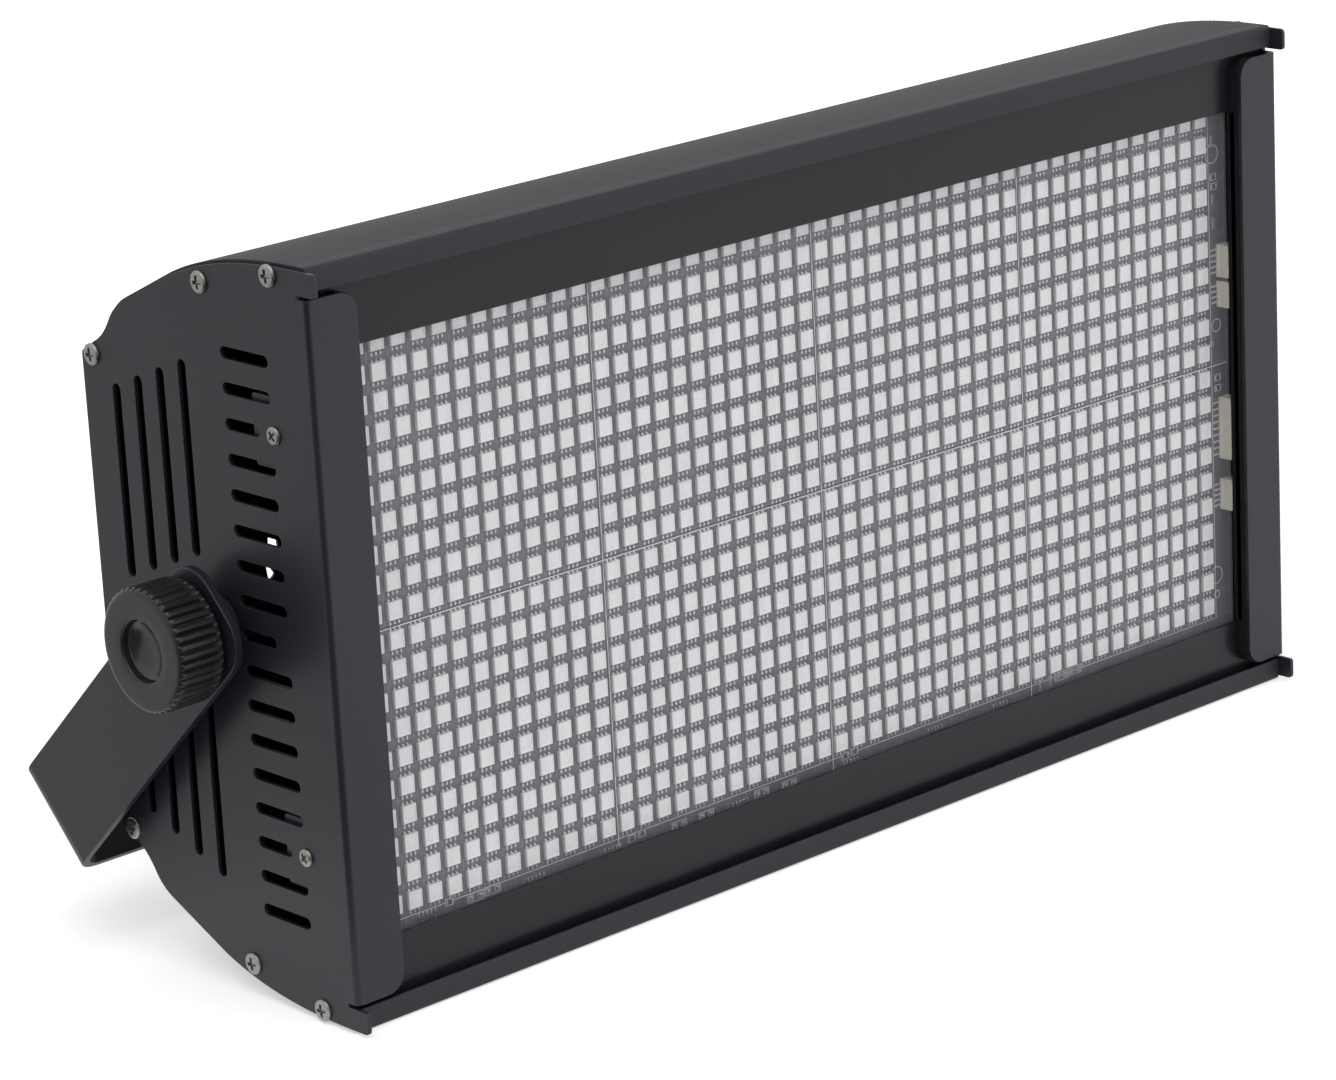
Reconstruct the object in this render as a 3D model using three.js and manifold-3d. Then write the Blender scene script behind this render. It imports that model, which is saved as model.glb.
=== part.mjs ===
// A strobe light: a flat housing full of white LEDs, held in a tilting yoke by two clamping knobs.
// Millimetres. +X runs along the panel, +Y goes from the window to the rear, +Z is up.
// The housing is drawn about the middle of its front edge, and the whole light is then moved
// so that the origin lies at the clamp hole of the yoke's cross-bar.
import * as THREE from 'three';
import { mergeVertices } from 'three/addons/utils/BufferGeometryUtils.js';
import Module from 'manifold-3d';

const wasm = await Module();
wasm.setup();

// Housing
const bodyLength = 460;
const bodyHeight = 252;
const bodyDepth = 125.5;
const clearance = 0.3;
const overrun = 2;

// End plates: folded sheet with a flange along the front
const plateSheet = 1.5;
const flangeWidth = 20;
const flangeFront = 4.5;
const flangeDrop = 9;
const flangeCorner = 7;
const notchDepth = 5;
const notchHeight = 1.2;
const noseRound = 1.5;
const noseCorner = 1.9;
const roofShares = {
  crownFront: [0.08, 1],
  crownBend: [0.402, 1],
  slopeTop: [0.598, 0.913],
  shoulderFront: [0.805, 0.816],
  shoulderBend: [0.841, 0.799],
  shoulderRear: [0.865, 0.766],
  stepBend: [0.912, 0.687],
  rearCorner: [1, 0.66],
};

// Air slots of the end plates
const rowSlot = { count: 17, pitchShare: 0.0934, width: 4, front: 26.2, shortFront: 33, rearShare: 0.4016 };
const screwRows = [2, 8, 14];
const tallSlot = { count: 4, width: 4.2, firstShare: 0.5697, pitchShare: 0.0968 };
const tallEndShares = { outer: 0.7008, inner: 0.1778, drop: 0.0371 };

// Screws
const screwHead = 4.25;
const screwHeadHeight = 2.6;
const screwShank = 1.6;
const screwLength = 14;
const smallHead = 3.5;
const smallHeadHeight = 2.2;
const smallLength = 8;
const screwRoundShares = [[0.55, 0.88], [1, 0.3]];
const portRadius = 4.1;
const rearPortRadius = 3.2;
const frontPortY = 22.6;
const frontPortDrop = 3;
const crownPortShare = 0.464;
const crownPortDrop = 5.1;
const rearPortInset = 6;
const rearPortDrop = 3.3;
const carrierScrewGap = 3.4;

// Profiles: their front lip holds the trim and the cover, their rear hook holds the rear panel
const proud = 1;
const wall = 2.2;
const lipFront = 6;
const lipBottomDrop = 7;
const lipTopDrop = 2;
const thinWall = 1.2;
const grooveDepth = 3.2;
const ribWall = 1.7;
const ribDrop = 2;
const hookDrop = 7.2;
const hookDepth = 4;

// Front: trim, cover, foam strips, LED boards and their carrier
const lipRoom = 3.4;
const trimSheet = 1.2;
const coverSheet = 2;
const windowDrop = 27.2;
const windowSink = 1.4;
const foamWidth = 6;
const lampsInsetX = 24.32;
const lampsInsetZ = 26.5;
const boardColumns = 4;
const boardRows = 2;
const boardSheet = 1.6;
const boardFront = 18.2;
const boardSideMargin = 10;
const boardEdgeMargin = 7.5;
const lampRows = 10;
const lampRise = 1.5;
const lampGapAcross = 2.7;
const lampGapUp = 3.7;
const connectorWidth = 5;
const connectorInset = 0.3;
const connectorRise = 5.8;
const connectorSpans = [
  [{ low: 22, high: 32 }, { low: 33.5, high: 46 }],
  [{ low: 13, high: 37 }, { low: 45, high: 57 }],
];
const carrierSheet = 2;
const carrierDrop = 17;
const tabDepth = 16;
const tabHeight = 24;

// Yoke, turned down and to the rear at rest
const pivotShare = 0.494;
const yokeAngle = -43.3;
const yokeDrop = 125.5;
const yokeSheet = 3.2;
const yokeWidth = 39.2;
const yokeHead = 21;
const yokeHeadRound = 12.8;
const yokeBend = 9.5;
const yokeGap = 8.8;
const clampHole = 6.5;
const sideHole = 4.25;
const sideHoleSpan = 120;

// Clamping knobs with their studs, spacers and nuts
const stud = 4;
const knobRadius = 21;
const knobRidgeDepth = 0.8;
const knobRidges = 40;
const knobGap = 2;
const knobNeck = 13;
const knobGrip = 18;
const knobRim = 1.2;
const knobWell = 10.4;
const knobWellDepth = 6;
const knobWellShares = [[0.7, 0.2], [1, 0.5]];
const studLength = 46;
const spacerRadius = 15;
const nutRadius = 7.5;
const nutHeight = 6.5;
const nutSides = 6;

// Rear panel and what it carries, with heights measured down from the rear hook
const rearSheet = 1.2;
const fanShare = 0.635;
const fanSize = 60;
const fanDepth = 15;
const fanBore = 28.6;
const fanFrameRound = 3;
const fanHub = 12;
const fanBlades = 5;
const fanBladeWidth = 12;
const fanBladeSheet = 1.2;
const fanBladeTurn = 40;
const fanRest = 62;
const fanBladeGap = 0.8;
const fanStrut = 3;
const fanStruts = 3;
const fanPlate = 2.5;
const fanPin = 1.5;
const grilleRings = [7.5, 13.5, 19.5, 25.5];
const grilleSlot = 4.2;
const grilleBridges = 4;
const grilleBridgeTurn = 14;
const vent = { count: 9, pitch: 6, width: 3.6, height: 7, down: 2.5 };

const displayWidth = 52;
const displayHeight = 20;
const displayDown = 36;
const displayRim = 3;
const displayRimHeight = 1.5;
const controlWidth = 112;
const controlHeight = 62;
const controlGap = 9.6;
const controlDown = 44;
const postRadius = 3;
const button = { count: 4, pitch: 18, radius: 4, rim: 5.2, rimHeight: 1, out: 2.5, stem: 5, down: 60 };

const power = { share: 0.252, down: 30, width: 50, height: 23, flange: 2, depth: 22 };
const powerBody = { width: 27.5, height: 20 };
const powerWell = { width: 24, height: 16, depth: 16, pin: 2, pinHeight: 4, pinLength: 10, pitch: 7 };
const data = { share: 0.383, down: 48, width: 26, height: 31, flange: 2, radius: 11.8, depth: 20 };
const dataWell = { radius: 9.4, depth: 14, pin: 1.2, pinLength: 7, pinCircle: 4.6, pins: 3, ringWidth: 1.4 };
const fuse = { down: 90, radius: 6, rim: 8, rimHeight: 2, depth: 24, bore: 4.6, stem: 21 };
const fuseGrip = { radius: 6.5, height: 8, slotWidth: 2, slotDepth: 2.5 };
const safety = { down: 11, base: 7, baseHeight: 2.5, shank: 3, inner: 5.5, bar: 2, neck: 2, thread: 9 };

const supply = { inset: 38, width: 160, height: 98, depth: 38, lip: 8, lipSheet: 2 };

// How finely curves are drawn
const coarse = 2;
const cornerPoints = 3;
const bendPoints = 4;
const roofPoints = { crown: 6, shoulder: 3, step: 4 };
const coarseSides = 8;
const roundSides = 14;
const smoothSides = 20;
const fineSides = 28;

// Where things lie, worked out from the sizes above
const halfLength = bodyLength / 2;
const halfHeight = bodyHeight / 2;
const plateInner = halfLength - plateSheet;
const innerLength = 2 * (plateInner - clearance);
const flangeEdge = halfLength - flangeWidth;
const flangeBack = flangeFront + plateSheet;
const flangeTop = halfHeight - flangeDrop;
const rowPitch = rowSlot.pitchShare * halfHeight;
const pivotY = pivotShare * bodyDepth;
const windowTop = halfHeight - windowDrop - windowSink;
const windowBottom = windowDrop - halfHeight - windowSink;
const lipBottom = halfHeight - lipBottomDrop;
const lipTop = halfHeight - lipTopDrop;
const lipBack = lipFront + thinWall;
const trimFront = lipBack + lipRoom;
const coverFront = trimFront + trimSheet + clearance;
const coverBack = coverFront + coverSheet;
const grooveRear = coverBack + clearance;
const grooveTop = lipBottom + grooveDepth;
const ribRear = grooveRear + ribWall;
const ribBottom = lipBottom - ribDrop;
const hookRear = bodyDepth + proud / 2;
const hookFront = hookRear - thinWall;
const rearFront = hookFront - clearance - rearSheet;
const rearBack = rearFront + rearSheet;
const hookRibRear = rearFront - clearance;
const hookRibFront = hookRibRear - thinWall;
const hookBottom = roofShares.rearCorner[1] * halfHeight - hookDrop;
const hookTop = hookBottom + hookDepth;
const rearPanelTop = hookTop - clearance;
const carrierFront = boardFront + boardSheet + clearance;
const carrierBack = carrierFront + carrierSheet;
const armInner = halfLength + yokeGap;
const armOuter = armInner + yokeSheet;
const knobInner = armOuter + clearance;
const gripInner = armOuter + knobGap;
const knobOuter = gripInner + knobGrip;
const tilt = THREE.MathUtils.degToRad(yokeAngle);
const clampY = pivotY + yokeDrop * Math.cos(tilt);
const clampZ = yokeDrop * Math.sin(tilt);
const controlRear = rearFront - controlGap;
const controlFront = controlRear - boardSheet;
const dataFace = rearBack + clearance + data.flange;
const controlZ = hookBottom - controlDown;
const displayZ = hookBottom - displayDown;
const buttonZ = hookBottom - button.down;
const ventZ = hookBottom - vent.down;
const dataZ = hookBottom - data.down;
const powerZ = power.down - hookBottom;
const fuseZ = hookBottom - fuse.down;
const safetyZ = hookBottom - safety.down;
const fanX = fanShare * halfLength;
const dataX = data.share * halfLength;
const powerX = power.share * halfLength;
const carrierScrewY = carrierBack + carrierScrewGap;
const carrierScrewZ = ((rowSlot.count - 1) / 2 - screwRows[0]) * rowPitch;

const full = Math.PI * 2;

// Materials
const paint = (colour, roughness, metalness) => new THREE.MeshStandardMaterial({
  color: colour, roughness, metalness,
});
const blackMetal = paint(0x1b1b1d, 0.5, 0.4);
const blackPlastic = paint(0x17191a, 0.55, 0);
const blackFoam = paint(0x0b0b0c, 0.95, 0);
const clearPlastic = paint(0xdfe6ea, 0.08, 0);
const boardInk = paint(0x2b2d31, 0.6, 0);
const bareSteel = paint(0xb9b4a8, 0.35, 0.9);
const bareAluminium = paint(0xb4b6b8, 0.4, 0.9);
const greenBoard = paint(0x1d5a34, 0.6, 0);
const redGlass = paint(0x3a0d0d, 0.2, 0);

// Solids: joining and cutting closed shapes
function toSolid(geometry) {
  const bare = geometry.clone();
  bare.deleteAttribute('normal');
  bare.deleteAttribute('uv');
  const merged = mergeVertices(bare);
  return new wasm.Manifold(new wasm.Mesh({
    numProp: 3,
    vertProperties: Float32Array.from(merged.attributes.position.array),
    triVerts: Uint32Array.from(merged.index.array),
  }));
}

function toGeometry(solid) {
  const mesh = solid.getMesh();
  const geometry = new THREE.BufferGeometry();
  geometry.setAttribute('position', new THREE.BufferAttribute(mesh.vertProperties, 3));
  geometry.setIndex(new THREE.BufferAttribute(mesh.triVerts, 1));
  const flat = geometry.toNonIndexed();
  flat.computeVertexNormals();
  return flat;
}

function join(geometries) {
  return toGeometry(geometries.map(toSolid).reduce((sum, part) => sum.add(part)));
}

function cut(geometry, tools) {
  return toGeometry(tools.map(toSolid).reduce((rest, tool) => rest.subtract(tool), toSolid(geometry)));
}

function overlap(first, second) {
  return toGeometry(toSolid(first).intersect(toSolid(second)));
}

// Shapes placed by the faces they reach
function slab(x0, x1, y0, y1, z0, z1) {
  const geometry = new THREE.BoxGeometry(Math.abs(x1 - x0), Math.abs(y1 - y0), Math.abs(z1 - z0));
  return geometry.translate((x0 + x1) / 2, (y0 + y1) / 2, (z0 + z1) / 2);
}

// A shape drawn with (y, z), run along X
function runAlongX(shape, x0, x1, curveSegments = coarse) {
  const geometry = new THREE.ExtrudeGeometry(shape, {
    depth: Math.abs(x1 - x0), bevelEnabled: false, curveSegments,
  });
  const turn = new THREE.Matrix4().makeBasis(
    new THREE.Vector3(0, 1, 0), new THREE.Vector3(0, 0, 1), new THREE.Vector3(1, 0, 0),
  );
  return geometry.applyMatrix4(turn).translate(Math.min(x0, x1), 0, 0);
}

// A shape drawn with (x, z), run along Y
function runAlongY(shape, y0, y1, curveSegments = coarse) {
  const geometry = new THREE.ExtrudeGeometry(shape, {
    depth: Math.abs(y1 - y0), bevelEnabled: false, curveSegments,
  });
  return geometry.rotateX(Math.PI / 2).translate(0, Math.max(y0, y1), 0);
}

// A shape drawn with (x, y), run along Z
function runAlongZ(shape, z0, z1, curveSegments = coarse) {
  const geometry = new THREE.ExtrudeGeometry(shape, {
    depth: Math.abs(z1 - z0), bevelEnabled: false, curveSegments,
  });
  return geometry.translate(0, 0, Math.min(z0, z1));
}

function rodAlongX(radius, x0, x1, y, z, sides = roundSides) {
  const geometry = new THREE.CylinderGeometry(radius, radius, Math.abs(x1 - x0), sides);
  return geometry.rotateZ(Math.PI / 2).translate((x0 + x1) / 2, y, z);
}

function rodAlongY(radius, y0, y1, x, z, sides = roundSides) {
  const geometry = new THREE.CylinderGeometry(radius, radius, Math.abs(y1 - y0), sides);
  return geometry.translate(x, (y0 + y1) / 2, z);
}

function roundedRectangle(width, height, radius, centreX = 0, centreY = 0) {
  const right = centreX + width / 2;
  const left = centreX - width / 2;
  const top = centreY + height / 2;
  const bottom = centreY - height / 2;
  const shape = new THREE.Shape();
  shape.moveTo(left + radius, bottom);
  shape.lineTo(right - radius, bottom);
  shape.absarc(right - radius, bottom + radius, radius, -Math.PI / 2, 0);
  shape.lineTo(right, top - radius);
  shape.absarc(right - radius, top - radius, radius, 0, Math.PI / 2);
  shape.lineTo(left + radius, top);
  shape.absarc(left + radius, top - radius, radius, Math.PI / 2, Math.PI);
  shape.lineTo(left, bottom + radius);
  shape.absarc(left + radius, bottom + radius, radius, Math.PI, 1.5 * Math.PI);
  return shape;
}

// A slot with round ends from (x0, y0) to (x1, y1), measured over its ends
function slotHole(x0, y0, x1, y1, width) {
  const half = width / 2;
  const start = new THREE.Vector2(x0, y0);
  const way = new THREE.Vector2(x1 - x0, y1 - y0).normalize();
  const end = new THREE.Vector2(x1, y1).addScaledVector(way, -half);
  start.addScaledVector(way, half);
  const angle = way.angle();
  const hole = new THREE.Path();
  hole.absarc(end.x, end.y, half, angle - Math.PI / 2, angle + Math.PI / 2);
  hole.absarc(start.x, start.y, half, angle + Math.PI / 2, angle + 1.5 * Math.PI);
  return hole;
}

function roundHole(x, y, radius, sides = roundSides) {
  const points = Array.from({ length: sides }, (_, i) => {
    const angle = (i / sides) * full;
    return new THREE.Vector2(x + radius * Math.cos(angle), y + radius * Math.sin(angle));
  });
  return new THREE.Path(points);
}

const model = new THREE.Group();
const housing = new THREE.Group();
const yokeFrame = new THREE.Group();
model.add(housing);
model.add(yokeFrame);
model.position.set(0, -clampY, -clampZ);
yokeFrame.position.set(0, pivotY, 0);
yokeFrame.rotation.x = tilt;

function place(name, geometry, material, group = housing) {
  const mesh = new THREE.Mesh(geometry, material);
  mesh.name = name;
  group.add(mesh);
  return mesh;
}

// The roof line shared by end plates and profiles, from the crown's front to the rear corner
function roofLine() {
  const at = (share) => new THREE.Vector2(share[0] * bodyDepth, share[1] * halfHeight);
  const roof = roofShares;
  const crown = new THREE.QuadraticBezierCurve(at(roof.crownFront), at(roof.crownBend), at(roof.slopeTop));
  const shoulder = new THREE.QuadraticBezierCurve(
    at(roof.shoulderFront), at(roof.shoulderBend), at(roof.shoulderRear),
  );
  const step = new THREE.QuadraticBezierCurve(at(roof.shoulderRear), at(roof.stepBend), at(roof.rearCorner));
  return [
    ...crown.getPoints(roofPoints.crown),
    ...shoulder.getPoints(roofPoints.shoulder),
    ...step.getPoints(roofPoints.step).slice(1),
  ];
}

// The same line moved square to itself, outwards where the distance is positive
function movedLine(points, distance) {
  return points.map((point, i) => {
    const before = points[Math.max(i - 1, 0)];
    const after = points[Math.min(i + 1, points.length - 1)];
    const way = after.clone().sub(before).normalize();
    return new THREE.Vector2(point.x - way.y * distance, point.y + way.x * distance);
  });
}

const roof = roofLine();

// Height of the roof line at one depth
function roofHeight(y) {
  const after = roof.findIndex((point) => point.x >= y);
  const share = (y - roof[after - 1].x) / (roof[after].x - roof[after - 1].x);
  return roof[after - 1].y + share * (roof[after].y - roof[after - 1].y);
}

const mirrored = (points) => points.map((point) => new THREE.Vector2(point.x, -point.y)).reverse();

function plateEdge() {
  const noseBottom = flangeTop + notchHeight;
  const nose = new THREE.Path();
  nose.moveTo(flangeFront, flangeTop);
  nose.lineTo(flangeFront + notchDepth, flangeTop);
  nose.lineTo(flangeFront + notchDepth, noseBottom);
  nose.lineTo(noseRound, noseBottom);
  nose.quadraticCurveTo(0, noseBottom, 0, noseBottom + noseRound);
  nose.lineTo(0, halfHeight - noseCorner);
  nose.quadraticCurveTo(0, halfHeight, noseCorner, halfHeight);
  const upper = [...nose.getPoints(cornerPoints), ...roof];
  return [...upper, ...mirrored(upper)];
}

function slotHoles() {
  const holes = [];
  for (let row = 0; row < rowSlot.count; row += 1) {
    const z = ((rowSlot.count - 1) / 2 - row) * rowPitch;
    const front = screwRows.includes(row) ? rowSlot.shortFront : rowSlot.front;
    holes.push(slotHole(front, z, rowSlot.rearShare * bodyDepth, z, rowSlot.width));
  }
  for (let i = 0; i < tallSlot.count; i += 1) {
    const y = (tallSlot.firstShare + i * tallSlot.pitchShare) * bodyDepth;
    const inner = (tallEndShares.inner - i * tallEndShares.drop) * halfHeight;
    const outer = (tallEndShares.outer - i * tallEndShares.drop) * halfHeight;
    holes.push(slotHole(y, inner, y, outer, tallSlot.width));
    holes.push(slotHole(y, -outer, y, -inner, tallSlot.width));
  }
  return holes;
}

const screwPorts = [
  { y: frontPortY, drop: frontPortDrop, radius: portRadius },
  { y: crownPortShare * bodyDepth, drop: crownPortDrop, radius: portRadius },
  { y: bodyDepth - rearPortInset, drop: rearPortDrop, radius: rearPortRadius },
].map((port) => ({ ...port, z: roofHeight(port.y) - port.drop }));

function endPlate(side) {
  const shape = new THREE.Shape(plateEdge());
  const screwHole = screwShank + clearance;
  shape.holes.push(...slotHoles(), roundHole(pivotY, 0, stud + clearance));
  for (const up of [1, -1]) {
    for (const port of screwPorts) {
      shape.holes.push(roundHole(port.y, up * port.z, screwHole, coarseSides));
    }
    shape.holes.push(roundHole(carrierScrewY, up * carrierScrewZ, screwHole, coarseSides));
  }
  const plate = runAlongX(shape, side * plateInner, side * halfLength);
  const flange = roundedRectangle(2 * flangeWidth, 2 * flangeTop, flangeCorner, side * halfLength, 0);
  const sheet = overlap(
    runAlongY(flange, flangeFront, flangeBack, cornerPoints),
    slab(side * (flangeEdge - overrun), side * halfLength, 0, bodyDepth, -halfHeight, halfHeight),
  );
  return join([plate, sheet]);
}

function profile(up) {
  const outer = movedLine(roof, proud);
  const inner = movedLine(roof, proud - wall)
    .filter((point) => point.x > ribRear && point.x < hookRibFront)
    .reverse();
  const front = new THREE.Path();
  front.moveTo(lipFront, lipBottom);
  front.lineTo(lipFront, lipTop);
  front.quadraticCurveTo(lipFront, outer[0].y, outer[0].x, outer[0].y);
  const points = [
    ...front.getPoints(cornerPoints),
    ...outer.slice(1, -1),
    new THREE.Vector2(hookRear, outer[outer.length - 1].y),
    new THREE.Vector2(hookRear, hookBottom),
    new THREE.Vector2(hookFront, hookBottom),
    new THREE.Vector2(hookFront, hookTop),
    new THREE.Vector2(hookRibRear, hookTop),
    new THREE.Vector2(hookRibRear, hookBottom),
    new THREE.Vector2(hookRibFront, hookBottom),
    ...inner,
    new THREE.Vector2(ribRear, inner[inner.length - 1].y),
    new THREE.Vector2(ribRear, ribBottom),
    new THREE.Vector2(grooveRear, ribBottom),
    new THREE.Vector2(grooveRear, grooveTop),
    new THREE.Vector2(lipBack, grooveTop),
    new THREE.Vector2(lipBack, lipBottom),
  ];
  const side = points.map((point) => new THREE.Vector2(point.x, up * point.y));
  const end = innerLength / 2;
  const ports = screwPorts.map((port) => rodAlongX(port.radius, -end, end, port.y, up * port.z));
  const reach = end + overrun;
  const bores = screwPorts.map(
    (port) => rodAlongX(screwShank + clearance, -reach, reach, port.y, up * port.z, coarseSides),
  );
  return cut(join([runAlongX(new THREE.Shape(side), -end, end), ...ports]), bores);
}

function screw(head, headHeight, length) {
  const outline = [
    [0, -length], [screwShank, -length], [screwShank, 0], [head, 0],
    ...screwRoundShares.map(([across, high]) => [head * across, headHeight * high]).reverse(),
    [0, headHeight],
  ].map(([radius, height]) => new THREE.Vector2(radius, height));
  return new THREE.LatheGeometry(outline, coarseSides).rotateZ(-Math.PI / 2);
}

// Each screw sits on the outside of its end plate and points inwards
function endPlateScrews(side, sideName) {
  const screwAt = (name, y, z, geometry) => {
    const mesh = place(name, geometry, bareSteel);
    mesh.position.set(side * (halfLength + clearance), y, z);
    mesh.rotation.y = side > 0 ? 0 : Math.PI;
  };
  for (const [up, upName] of [[1, 'upper'], [-1, 'lower']]) {
    const names = ['front', 'crown', 'rear'];
    screwPorts.forEach((port, i) => {
      const name = `${sideName}_screw_${upName}_${names[i]}`;
      screwAt(name, port.y, up * port.z, screw(screwHead, screwHeadHeight, screwLength));
    });
    const name = `${sideName}_screw_${upName}_carrier`;
    screwAt(name, carrierScrewY, up * carrierScrewZ, screw(smallHead, smallHeadHeight, smallLength));
  }
}

function trim(up) {
  const end = innerLength / 2;
  const windowEdge = up > 0 ? windowTop : windowBottom;
  return slab(-end, end, trimFront, trimFront + trimSheet, windowEdge, up * (grooveTop - clearance));
}

function cover() {
  const end = flangeEdge - clearance;
  const top = grooveTop - clearance;
  return slab(-end, end, coverFront, coverBack, -top, top);
}

// Foam behind the flange: it presses on the trims and, between them, stands beside the cover
function foam(side) {
  const start = flangeBack + clearance;
  const edge = side * (flangeEdge + clearance);
  const far = edge + side * foamWidth;
  return join([
    slab(edge, far, start, trimFront - clearance, -flangeTop, flangeTop),
    slab(edge, far, start, coverFront, windowBottom + clearance, windowTop - clearance),
  ]);
}

// Each board carries its LEDs as one plain rib for each row of them, and the last boards their connectors
function ledBoards() {
  const cellWidth = 2 * (halfLength - lampsInsetX) / boardColumns;
  const cellHeight = 2 * (halfHeight - lampsInsetZ) / boardRows;
  const halfColumns = boardColumns / 2;
  for (let row = 0; row < boardRows; row += 1) {
    const up = row === 0 ? 1 : -1;
    for (let column = 0; column < boardColumns; column += 1) {
      const isFirst = column === 0;
      const isLast = column === boardColumns - 1;
      const left = (column - halfColumns) * cellWidth - (isFirst ? boardSideMargin : -clearance / 2);
      const right = (column + 1 - halfColumns) * cellWidth + (isLast ? boardSideMargin : -clearance / 2);
      const edge = up * (cellHeight + boardEdgeMargin);
      const middle = up * clearance / 2;
      const board = slab(left, right, boardFront, boardFront + boardSheet, middle, edge);
      const ribStart = (column - halfColumns) * cellWidth + lampGapAcross / 2;
      const ribEnd = ribStart + cellWidth - lampGapAcross;
      const ribs = Array.from({ length: lampRows }, (_, i) => {
        const low = up * ((i * cellHeight) / lampRows + lampGapUp / 2);
        const high = up * (((i + 1) * cellHeight) / lampRows - lampGapUp / 2);
        return slab(ribStart, ribEnd, boardFront - lampRise, boardFront + boardSheet / 2, low, high);
      });
      const spans = isLast ? connectorSpans[row] : [];
      const outer = right - connectorInset;
      const connectors = spans.map(({ low, high }) => slab(
        outer - connectorWidth, outer, boardFront - connectorRise, boardFront + boardSheet / 2, up * low, up * high,
      ));
      const parts = [board, ...ribs, ...connectors];
      place(`led_board_row_${row + 1}_column_${column + 1}`, join(parts), boardInk);
    }
  }
}

function boardCarrier() {
  const end = innerLength / 2;
  const half = halfHeight - carrierDrop;
  const parts = [slab(-end, end, carrierFront, carrierBack, -half, half)];
  const holes = [];
  for (const side of [-1, 1]) {
    for (const up of [-1, 1]) {
      const middle = up * carrierScrewZ;
      const low = middle - tabHeight / 2;
      const inner = side * (end - carrierSheet);
      parts.push(slab(inner, side * end, carrierFront, carrierBack + tabDepth, low, low + tabHeight));
      const bore = { radius: screwShank + clearance, start: inner - side * overrun, end: side * (end + overrun) };
      holes.push(rodAlongX(bore.radius, bore.start, bore.end, carrierScrewY, middle, coarseSides));
    }
  }
  return cut(join(parts), holes);
}

// The yoke is drawn reaching straight to +Y from the pivot
function yoke() {
  const strap = new THREE.Shape();
  const innerBend = yokeBend - yokeSheet;
  const innerBar = yokeDrop - yokeSheet;
  strap.moveTo(-armOuter, -yokeHead);
  strap.lineTo(-armInner, -yokeHead);
  strap.lineTo(-armInner, innerBar - innerBend);
  strap.absarc(-armInner + innerBend, innerBar - innerBend, innerBend, Math.PI, Math.PI / 2, true);
  strap.lineTo(armInner - innerBend, innerBar);
  strap.absarc(armInner - innerBend, innerBar - innerBend, innerBend, Math.PI / 2, 0, true);
  strap.lineTo(armInner, -yokeHead);
  strap.lineTo(armOuter, -yokeHead);
  strap.lineTo(armOuter, yokeDrop - yokeBend);
  strap.absarc(armOuter - yokeBend, yokeDrop - yokeBend, yokeBend, 0, Math.PI / 2);
  strap.lineTo(-armOuter + yokeBend, yokeDrop);
  strap.absarc(-armOuter + yokeBend, yokeDrop - yokeBend, yokeBend, Math.PI / 2, Math.PI);
  const bent = runAlongZ(strap, -yokeWidth / 2, yokeWidth / 2, bendPoints);
  const length = yokeHead + yokeDrop + 2 * yokeHeadRound;
  const outline = roundedRectangle(length, yokeWidth, yokeHeadRound, length / 2 - yokeHead, 0);
  const reach = armOuter + overrun;
  const blank = overlap(bent, runAlongX(outline, -reach, reach, cornerPoints));
  const bar = [yokeDrop - yokeSheet - overrun, yokeDrop + overrun];
  return cut(blank, [
    rodAlongX(stud + clearance, -reach, reach, 0, 0),
    rodAlongY(clampHole, bar[0], bar[1], 0, 0, smoothSides),
    rodAlongY(sideHole, bar[0], bar[1], -sideHoleSpan / 2, 0),
    rodAlongY(sideHole, bar[0], bar[1], sideHoleSpan / 2, 0),
  ]);
}

// A ridged ring drawn about the origin
function ridgedShape() {
  const points = [];
  for (let i = 0; i < 2 * knobRidges; i += 1) {
    const angle = (i / (2 * knobRidges)) * full;
    const radius = i % 2 === 0 ? knobRadius : knobRadius - knobRidgeDepth;
    points.push(new THREE.Vector2(radius * Math.cos(angle), radius * Math.sin(angle)));
  }
  return new THREE.Shape(points);
}

// The knob is drawn about the pivot on the +X side, with its stud pointing inwards
function knob() {
  const face = knobOuter - knobRim;
  const rim = new THREE.CylinderGeometry(
    knobRadius - knobRim, knobRadius - knobRidgeDepth, knobRim, knobRidges,
  );
  const bowl = new THREE.LatheGeometry([
    new THREE.Vector2(0, 0),
    ...knobWellShares.map(([across, high]) => new THREE.Vector2(knobWell * across, knobWellDepth * high)),
    new THREE.Vector2(knobWell, knobWellDepth + overrun),
    new THREE.Vector2(0, knobWellDepth + overrun),
  ], smoothSides);
  const body = join([
    runAlongX(ridgedShape(), gripInner, face),
    rim.rotateZ(-Math.PI / 2).translate(face + knobRim / 2, 0, 0),
    rodAlongX(knobNeck, knobInner, gripInner + overrun, 0, 0, smoothSides),
    rodAlongX(stud, knobOuter - studLength, gripInner + overrun, 0, 0),
  ]);
  return cut(body, [bowl.rotateZ(-Math.PI / 2).translate(knobOuter - knobWellDepth, 0, 0)]);
}

function spacer(side) {
  const x0 = side * (halfLength + clearance);
  const x1 = side * (armInner - clearance);
  const bore = rodAlongX(stud + clearance, x0 - side * overrun, x1 + side * overrun, pivotY, 0);
  return cut(rodAlongX(spacerRadius, x0, x1, pivotY, 0, fineSides), [bore]);
}

function pivotNut(side) {
  const x1 = side * (plateInner - clearance);
  const x0 = x1 - side * nutHeight;
  const bore = rodAlongX(stud + clearance, x0 - side * overrun, x1 + side * overrun, pivotY, 0);
  return cut(rodAlongX(nutRadius, x0, x1, pivotY, 0, nutSides), [bore]);
}

// One ring slot of a fan grille, from one bridge to the next
function grilleHole(x, z, radius, start, end) {
  const hole = new THREE.Path();
  hole.absarc(x, z, radius + grilleSlot / 2, start, end);
  hole.absarc(x, z, radius - grilleSlot / 2, end, start, true);
  return hole;
}

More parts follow.
